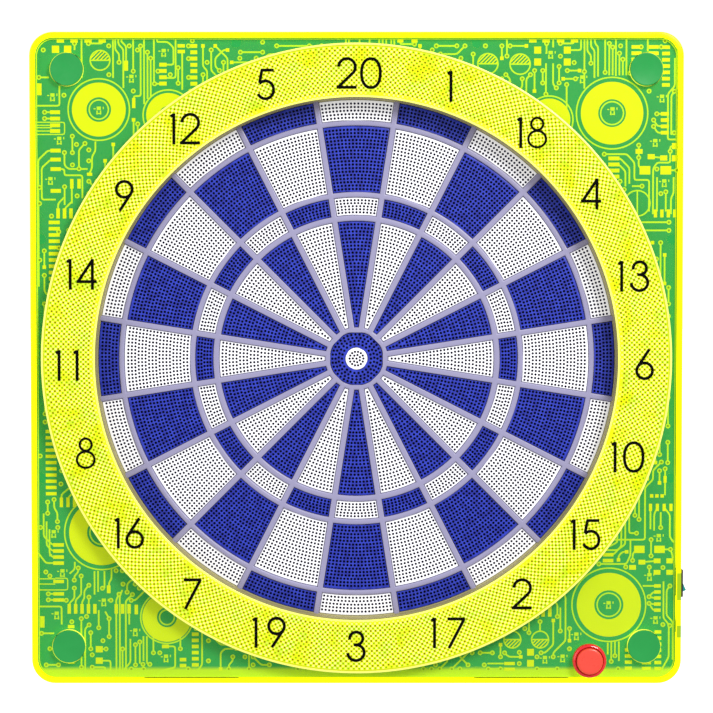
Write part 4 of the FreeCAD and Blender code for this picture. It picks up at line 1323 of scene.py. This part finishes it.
board.via(
    (143.9, 239), (154.4, 239), (154.4, 229.4), (164.8, 224.6), (172.6, 217.8), (177.5, 224.1),
    (143.5, 200.7), (151.4, 205.5), (159.2, 208), (188.3, 217.2), (191.4, 239), (194, 236.2),
    (199.1, 231.6), (201.7, 227), (207.2, 216.6), (113.9, 229.5), (215.5, 236.4), (230.7, 236.4),
    (233.6, 241), (240.8, 202.9), (240.8, 171.6), (214, 162.2), (214, 152.8), (187.9, 155.4),
    (237.9, 157.5), (243, 143.2), (216.6, 131.2), (234.7, 126.9))
board.parts(
    (147, 230.5), (171, 212), (194, 188), (231.5, 197.5), (226.5, 164), (233.5, 133.5))
board.tracks(
    ((113.9, 229.5), (113.9, 242)), ((143.9, 239), (143.9, 231.5)), ((154.4, 239), (164.5,
    239), (164.5, 242)), ((159.6, 234), (170, 234), (170, 242)), ((143.5, 200.7), (143.5,
    224)), ((148.9, 224), (148.9, 208), (151.4, 205.5)), ((148.9, 242), (148.9, 236)),
    ((159.2, 208), (159.2, 190)), ((172.6, 242), (172.6, 217.8), (172.6, 205)), ((174.8, 242),
    (174.8, 233), (177.5, 230.3), (177.5, 224.1)), ((177.5, 242), (177.5, 236.5), (180.2, 233.8),
    (180.2, 213)), ((180.5, 242), (180.5, 239), (182.9, 236.6), (182.9, 214)), ((188.3, 242),
    (188.3, 217.2)), ((196.4, 242), (196.4, 214.5)), ((204.4, 242), (204.4, 215)), ((220.5, 242),
    (220.5, 233)), ((243, 236), (243, 205), (238.6, 200), (238.6, 170)), ((241.2,
    228), (241.2, 207), (236, 201), (236, 166.5), (243, 166.5)), ((214, 162.2),
    (214, 146), (218.6, 143.2)), ((223.5, 153.5), (233, 152.5)), ((242, 143.2), (234.6,
    143.2)), ((242, 161.5), (237.9, 161.5), (237.9, 149), (228, 149), (225, 144.5),
    (225, 110)), ((187.9, 155.4), (205, 155.4), (210.8, 149), (210.8, 135.9), (222,
    135.9), (222, 112)), ((195.2, 152.2), (200, 152.2), (207, 145), (207, 133)),
    ((195.2, 147.6), (199, 147.6), (204, 142.5), (204, 131)), ((216.6, 131.2), (209,
    131.2)), ((234.7, 126.9), (234.7, 112)), ((228, 138), (228, 112)), ((240.6, 138),
    (240.6, 126), (238.6, 122), (238.6, 110)))

# Lower left.
board.target(-194.3, -132.6, 28.9, 24.9, 11.2, 9.6)
board.target(-144.8, -197.5, 20.6, 18.8, 7.6, 6.2)
board.row(8.2, 2.5, -232.7, -55.3, 0, -4.75, 11)
board.row(2.5, 7.4, -225, -109.4, 5, 0, 3)
board.row(8.2, 2.7, -227.4, -142, 0, -4.65, 4)
for i in range(3):
    z = -142 - 4.65 * i
    x = -238.6 + i * 2.2
    board.trace((-227.4, z), (-232, z), (x, z + 6.6 - 2.2 * i), (x, -118 - i * 6))
board.pad(8.2, 2.6, (-227.4, -170), (-227.4, -179.5), (-227.4, -184.2))
for z in (-168, -172):
    board.trace((-242, z), (-230, z), width=0.9)
board.trace((-242, -176.5), (-220.5, -176.5), (-220.5, -167.5), (-230, -167.5), width=0.9)
board.row(2.6, 7.4, -219.4, -191, 4.9, 0, 5)
board.pad(3.4, 8.8, (-240, -201))
board.pad(5, 2.6, (-218, -204.6), (-218, -231.8))
board.pad(2.8, 6, (-189.2, -176))
board.row(2.6, 7.4, -183.5, -191, 4.9, 0, 3)
board.pad(2.6, 7.4, (-168.2, -191.5))
board.pad(5.4, 4.8, (-196.6, -222), (-196.6, -230.8))
board.pad(5.4, 2.8, (-146, -219.8))
board.row(5.2, 2.7, -123.2, -210.5, 0, -4.7, 6)
board.pad(5, 2.7, (-132.6, -230), (-132.6, -234.6))
board.via(
    (-235.5, -109.2), (-235.5, -117.8), (-230.6, -107.3), (-228.1, -124.1), (-225.3, -95.4),
    (-241, -74), (-241, -128.6), (-235.3, -179.5), (-235.3, -184.1), (-215.4, -175.1),
    (-204.3, -172.9), (-204.3, -182), (-210.2, -165.8), (-210.2, -198.5), (-204.3, -203.3),
    (-217.5, -200.9), (-196.9, -205.5), (-194, -175.2), (-183.5, -161.7), (-178.8, -161.7),
    (-171.1, -180), (-181.3, -179.8), (-189, -198.5), (-189, -212.3), (-191.4, -221.8),
    (-202, -226.3), (-202, -235.8), (-178.8, -221.8), (-234.3, -221.6), (-210.2, -235.8),
    (-165.6, -216.4), (-155.2, -224.7), (-158, -233.6), (-163.2, -233.6), (-134.6, -221.6),
    (-240.6, -209.8))
board.parts(
    (-231, -133.5), (-224.5, -163.5), (-229, -196), (-193, -186), (-169, -209),
    (-145.6, -229))
board.tracks(
    ((-235.5, -109.2), (-235.5, -117.8)), ((-230.6, -107.3), (-230.6, -113.5), (-228.1, -117.5),
    (-228.1, -124.1)), ((-225, -109.4), (-225, -103.5), (-219, -98.5)), ((-220, -109.4),
    (-220, -106), (-216, -102)), ((-243, -148), (-237, -155.9), (-227.4, -155.9)),
    ((-215, -155), (-215, -160.5), (-219, -164)), ((-235.3, -179.5), (-227.4, -179.5)),
    ((-235.3, -184.1), (-227.4, -184.2)), ((-215.4, -175.1), (-215.4, -183), (-219.4, -186.8),
    (-219.4, -191)), ((-210.2, -165.8), (-210.2, -180), (-214.5, -184.3), (-214.5, -191)),
    ((-204.3, -172.9), (-207.8, -177), (-207.8, -183), (-209.6, -185.5), (-209.6, -191)),
    ((-204.3, -182), (-204.7, -191)), ((-242, -189.2), (-225.2, -189.2), (-225.2, -203)),
    ((-240.6, -209.8), (-231, -209.8)), ((-210.2, -198.5), (-210.2, -235.8)), ((-204.3, -203.3),
    (-207.4, -206.4), (-207.4, -242)), ((-196.9, -205.5), (-196.9, -192)), ((-200, -162),
    (-200, -180)), ((-197.3, -162), (-197.3, -178)), ((-192.4, -162), (-192.4, -175)),
    ((-187, -160), (-187, -168), (-189, -171), (-189, -176)), ((-189, -198.5),
    (-189, -212.3)), ((-192, -193), (-189, -198.5)), ((-181.3, -179.8), (-183.5, -184),
    (-183.5, -242)), ((-178.8, -176.5), (-180.8, -181), (-180.8, -242)), ((-171.1, -180),
    (-176.2, -185), (-176.2, -242)), ((-173.6, -195), (-173.6, -203)), ((-191.4, -221.8),
    (-196.6, -222)), ((-196.6, -230.8), (-188, -230.8), (-188, -242)), ((-202, -235.8),
    (-192, -235.8), (-192, -242)), ((-178.8, -221.8), (-178.8, -242)), ((-172.8, -214),
    (-172.8, -232), (-178, -238)), ((-165.6, -216.4), (-165.6, -233)), ((-160.2, -212),
    (-160.2, -233), (-158, -233.6)), ((-162.8, -212), (-162.8, -231)), ((-155.2, -224.7),
    (-155.2, -212)), ((-146, -219.8), (-138.6, -219.8), (-138.6, -236), (-150, -238.5),
    (-152, -242)), ((-134.6, -221.6), (-134.6, -212)), ((-118, -206), (-118, -234),
    (-122, -239)))

# Lower right.
board.target(192.7, -187.9, 28.7, 24.5, 11.1, 9.5)
board.hatched(119.1, -214.6, 7, 180, 45)
board.hatched(140.3, -214.6, 7, 180, 45)
board.pad(5.2, 5.2, (133, -224.3), (133, -232.8))
board.pad(8.2, 2.5, (117, -233), (117, -237.4))
board.row(2.7, 8, 142.5, -193, 5.1, 0, 2)
board.pad(8, 5.6, (215.8, -145.4), (231.2, -145.4))
board.pad(5.2, 3.6, (217.8, -155.2), (229.4, -154.2), (229.4, -163), (210.7, -159.2))
board.pad(5, 3.8, (239, -154.2), (239, -163))
board.row(5, 2.6, 229.8, -173.4, 0, -4.65, 5)
for z, dz in ((-181.7, 3.6), (-181.7, -0.9), (-186.8, -0.6), (-186.8, -5.2)):
    board.trace((223.4, z), (226.5, z + dz), (229.8, z + dz))
board.row(5.2, 2.6, 230.3, -208.7, 0, -4.7, 7)
board.row(5.4, 2.6, 207.8, -222.5, 0, -4.7, 4)
board.pad(7, 2.6, (221.6, -232.3), (221.6, -236.8))
board.pad(2.4, 5.2, (235.2, -91.8))
board.row(2.4, 5.6, 224.2, -113.3, 5.2, 0, 4)
board.pad(8, 2.7, (192, -154), (192, -149.5))
board.row(2.6, 2.6, 225, -104.5, 4, 0, 3)
board.via(
    (140.2, -200.8), (155.7, -208), (124.4, -224.4), (124.4, -233), (194.7, -231.4), (197.5,
    -227), (185, -156.6), (213.6, -133), (232.3, -78.6), (235.2, -83.8), (232, -128.7),
    (210.7, -153.9), (205.5, -158.9), (223.5, -159), (233.9, -159.3), (239.6, -145.4), (239.3,
    -173.4), (239.3, -203.8), (223.4, -181.7), (223.4, -186.8), (213, -216.9), (212, -227.2))
board.parts(
    (192.5, -188), (144, -230), (157.5, -229), (168, -212), (223.6, -166.5), (230.6,
    -136.5), (228.4, -199.5))
board.tracks(
    ((140.2, -200.8), (140.2, -208)), ((155.7, -208), (155.7, -190)), ((100, -233),
    (112.5, -233)), ((194.7, -231.4), (194.7, -216)), ((197.5, -227), (197.5, -216)),
    ((200.5, -216), (200.5, -231)), ((192, -217), (192, -226)), ((231.2, -145.4),
    (239.6, -145.4), (241.2, -150), (241.2, -154)), ((217.8, -155.2), (229.4, -154.2)), ((210.7,
    -153.9), (210.7, -149), (213, -146)), ((223.5, -159), (223.5, -166)), ((218.5,
    -173.4), (229.8, -173.4)), ((234.4, -170), (234.4, -198), (238.6, -203), (238.6, -228),
    (233, -238)), ((239.3, -173.4), (236.8, -176.5), (236.8, -196), (241.6, -201), (241.6,
    -230)), ((232.3, -78.6), (226, -85), (226, -92), (220, -98), (220, -138),
    (188, -138)), ((235.2, -83.8), (235.2, -104)), ((224.2, -113.3), (224.2, -130)),
    ((229.4, -113.3), (227, -118.5), (227, -131)), ((232, -128.7), (232, -117)),
    ((234.6, -113.3), (239, -119), (239, -136), (242, -140)), ((213.6, -133), (208,
    -133), (208, -118)), ((205, -124), (205, -141.5), (199, -146), (186, -146)),
    ((202, -128), (202, -143), (196, -149.5), (188, -149.5)), ((199, -131), (199,
    -140), (193, -143)), ((185, -156.6), (206, -156.6), (209, -150), (209, -138)))

# The middle of the top edge.
for x in (-8, -5.7, 2.3, 9.9, 17.2, 19.8, 22.5, 26.3, 28.6):
    board.trace((x, 242), (x, 212))
board.pad(4.6, 2.6, (33.2, 241), (43.9, 241))
board.via(
    (43.9, 238.5), (-87.9, 232.4), (-71.1, 232.4), (-71.1, 240))
board.tracks(
    ((43.9, 238.5), (33.2, 238.5), (33.2, 241)), ((-87.9, 232.4), (-71.1, 232.4)))
board.wander(WANDER_TRIES)


def ink(name, base, second):
    """Screen-printed ink with slightly uneven cover, a little greener low down."""
    n = Nodes(name)
    tone = n.mix(n.noise(60.0), base, second)
    tone = n.mix(n.span(n.axes()[2], -0.08, -0.2, 0.0, 0.3), tone, colour(150, 200, 50))
    n.bump(n.noise(1800.0, 2.0), 0.2, 0.000006)
    return n.set(Base_Color=tone, Roughness=n.gloss(220.0, 0.4, 0.55), Specular_IOR_Level=0.15)


trace_ink = ink("trace_ink", colour(182, 230, 30), colour(196, 238, 44))
pad_ink = ink("pad_ink", colour(216, 232, 0), colour(226, 240, 4))
via_ink = ink("via_ink", colour(120, 150, 20), colour(134, 160, 30))
for name, polygons, rise, material in (
        ("circuit_traces", board.traces, 0.04, trace_ink),
        ("circuit_pads", board.pads, 0.08, pad_ink),
        ("circuit_via_centres", board.centres, 0.1, via_ink)):
    layer = Shape()
    union_prism(layer, polygons, FILM_FRONT - rise, FILM_FRONT)
    layer.piece(name, [material], "case", "ring_yellow")

# ---- camera, light and floor ----

VIEW_DISTANCE = 1.75
VIEW_RISE = 0.065
VIEW_AIM = 0.002
SENSOR = 36.0
LENS = 116.5
camera_data = bpy.data.cameras.new("camera")
camera_data.sensor_width = SENSOR
camera_data.lens = LENS
camera = bpy.data.objects.new("camera", camera_data)
bpy.context.scene.collection.objects.link(camera)
camera.location = (0.0, PLATE_FRONT * MM - VIEW_DISTANCE, VIEW_RISE)
camera.rotation_mode = "QUATERNION"
to_board = Vector((0.0, PLATE_FRONT * MM, VIEW_AIM)) - camera.location
camera.rotation_quaternion = to_board.to_track_quat("-Z", "Y")
bpy.context.scene.camera = camera


def area_light(name, place, aim, size, energy):
    data = bpy.data.lights.new(name, "AREA")
    data.shape = "DISK"
    data.size = size
    data.energy = energy
    light = bpy.data.objects.new(name, data)
    bpy.context.scene.collection.objects.link(light)
    light.location = place
    light.rotation_mode = "QUATERNION"
    light.rotation_quaternion = (Vector(aim) - Vector(place)).to_track_quat("-Z", "Y")


area_light("key_light", (1.1, -1.9, 1.3), (0.0, 0.0, 0.0), 1.0, 42.0)
area_light("fill_light", (-1.8, -1.2, 0.4), (0.0, 0.0, 0.0), 1.6, 10.0)

# The world lights the object softly; the camera sees it a little brighter than it lights.
SOFT_LIGHT = 0.62
SEEN_BRIGHTNESS = 1.05
world = bpy.data.worlds.new("studio")
bpy.context.scene.world = world
world.use_nodes = True
tree = world.node_tree
background = tree.nodes["Background"]
background.inputs["Color"].default_value = (1.0, 1.0, 1.0, 1.0)
background.inputs["Strength"].default_value = SOFT_LIGHT
seen = tree.nodes.new("ShaderNodeBackground")
seen.inputs["Color"].default_value = (1.0, 1.0, 1.0, 1.0)
seen.inputs["Strength"].default_value = SEEN_BRIGHTNESS
chooser = tree.nodes.new("ShaderNodeMixShader")
path = tree.nodes.new("ShaderNodeLightPath")
tree.links.new(path.outputs["Is Camera Ray"], chooser.inputs[0])
tree.links.new(background.outputs[0], chooser.inputs[1])
tree.links.new(seen.outputs[0], chooser.inputs[2])
tree.links.new(chooser.outputs[0], tree.nodes["World Output"].inputs["Surface"])
bpy.context.scene.view_settings.view_transform = "Standard"

FLOOR_Z = -0.7
FLOOR_REACH = 30.0
floor_mesh = bpy.data.meshes.new("floor")
floor_corners = [(-1, -1), (1, -1), (1, 1), (-1, 1)]
floor_mesh.from_pydata(
    [(x * FLOOR_REACH, y * FLOOR_REACH, FLOOR_Z) for x, y in floor_corners], [], [(0, 1, 2, 3)])
floor = bpy.data.objects.new("floor", floor_mesh)
bpy.context.scene.collection.objects.link(floor)
floor_mesh.materials.append(plastic(
    "floor_pale", (0.93, 0.93, 0.93, 1.0), 0.7, 0.01, 3.0,
    Emission_Color=(1.0, 1.0, 1.0, 1.0), Emission_Strength=0.75))
floor.visible_diffuse = False
floor.visible_glossy = False
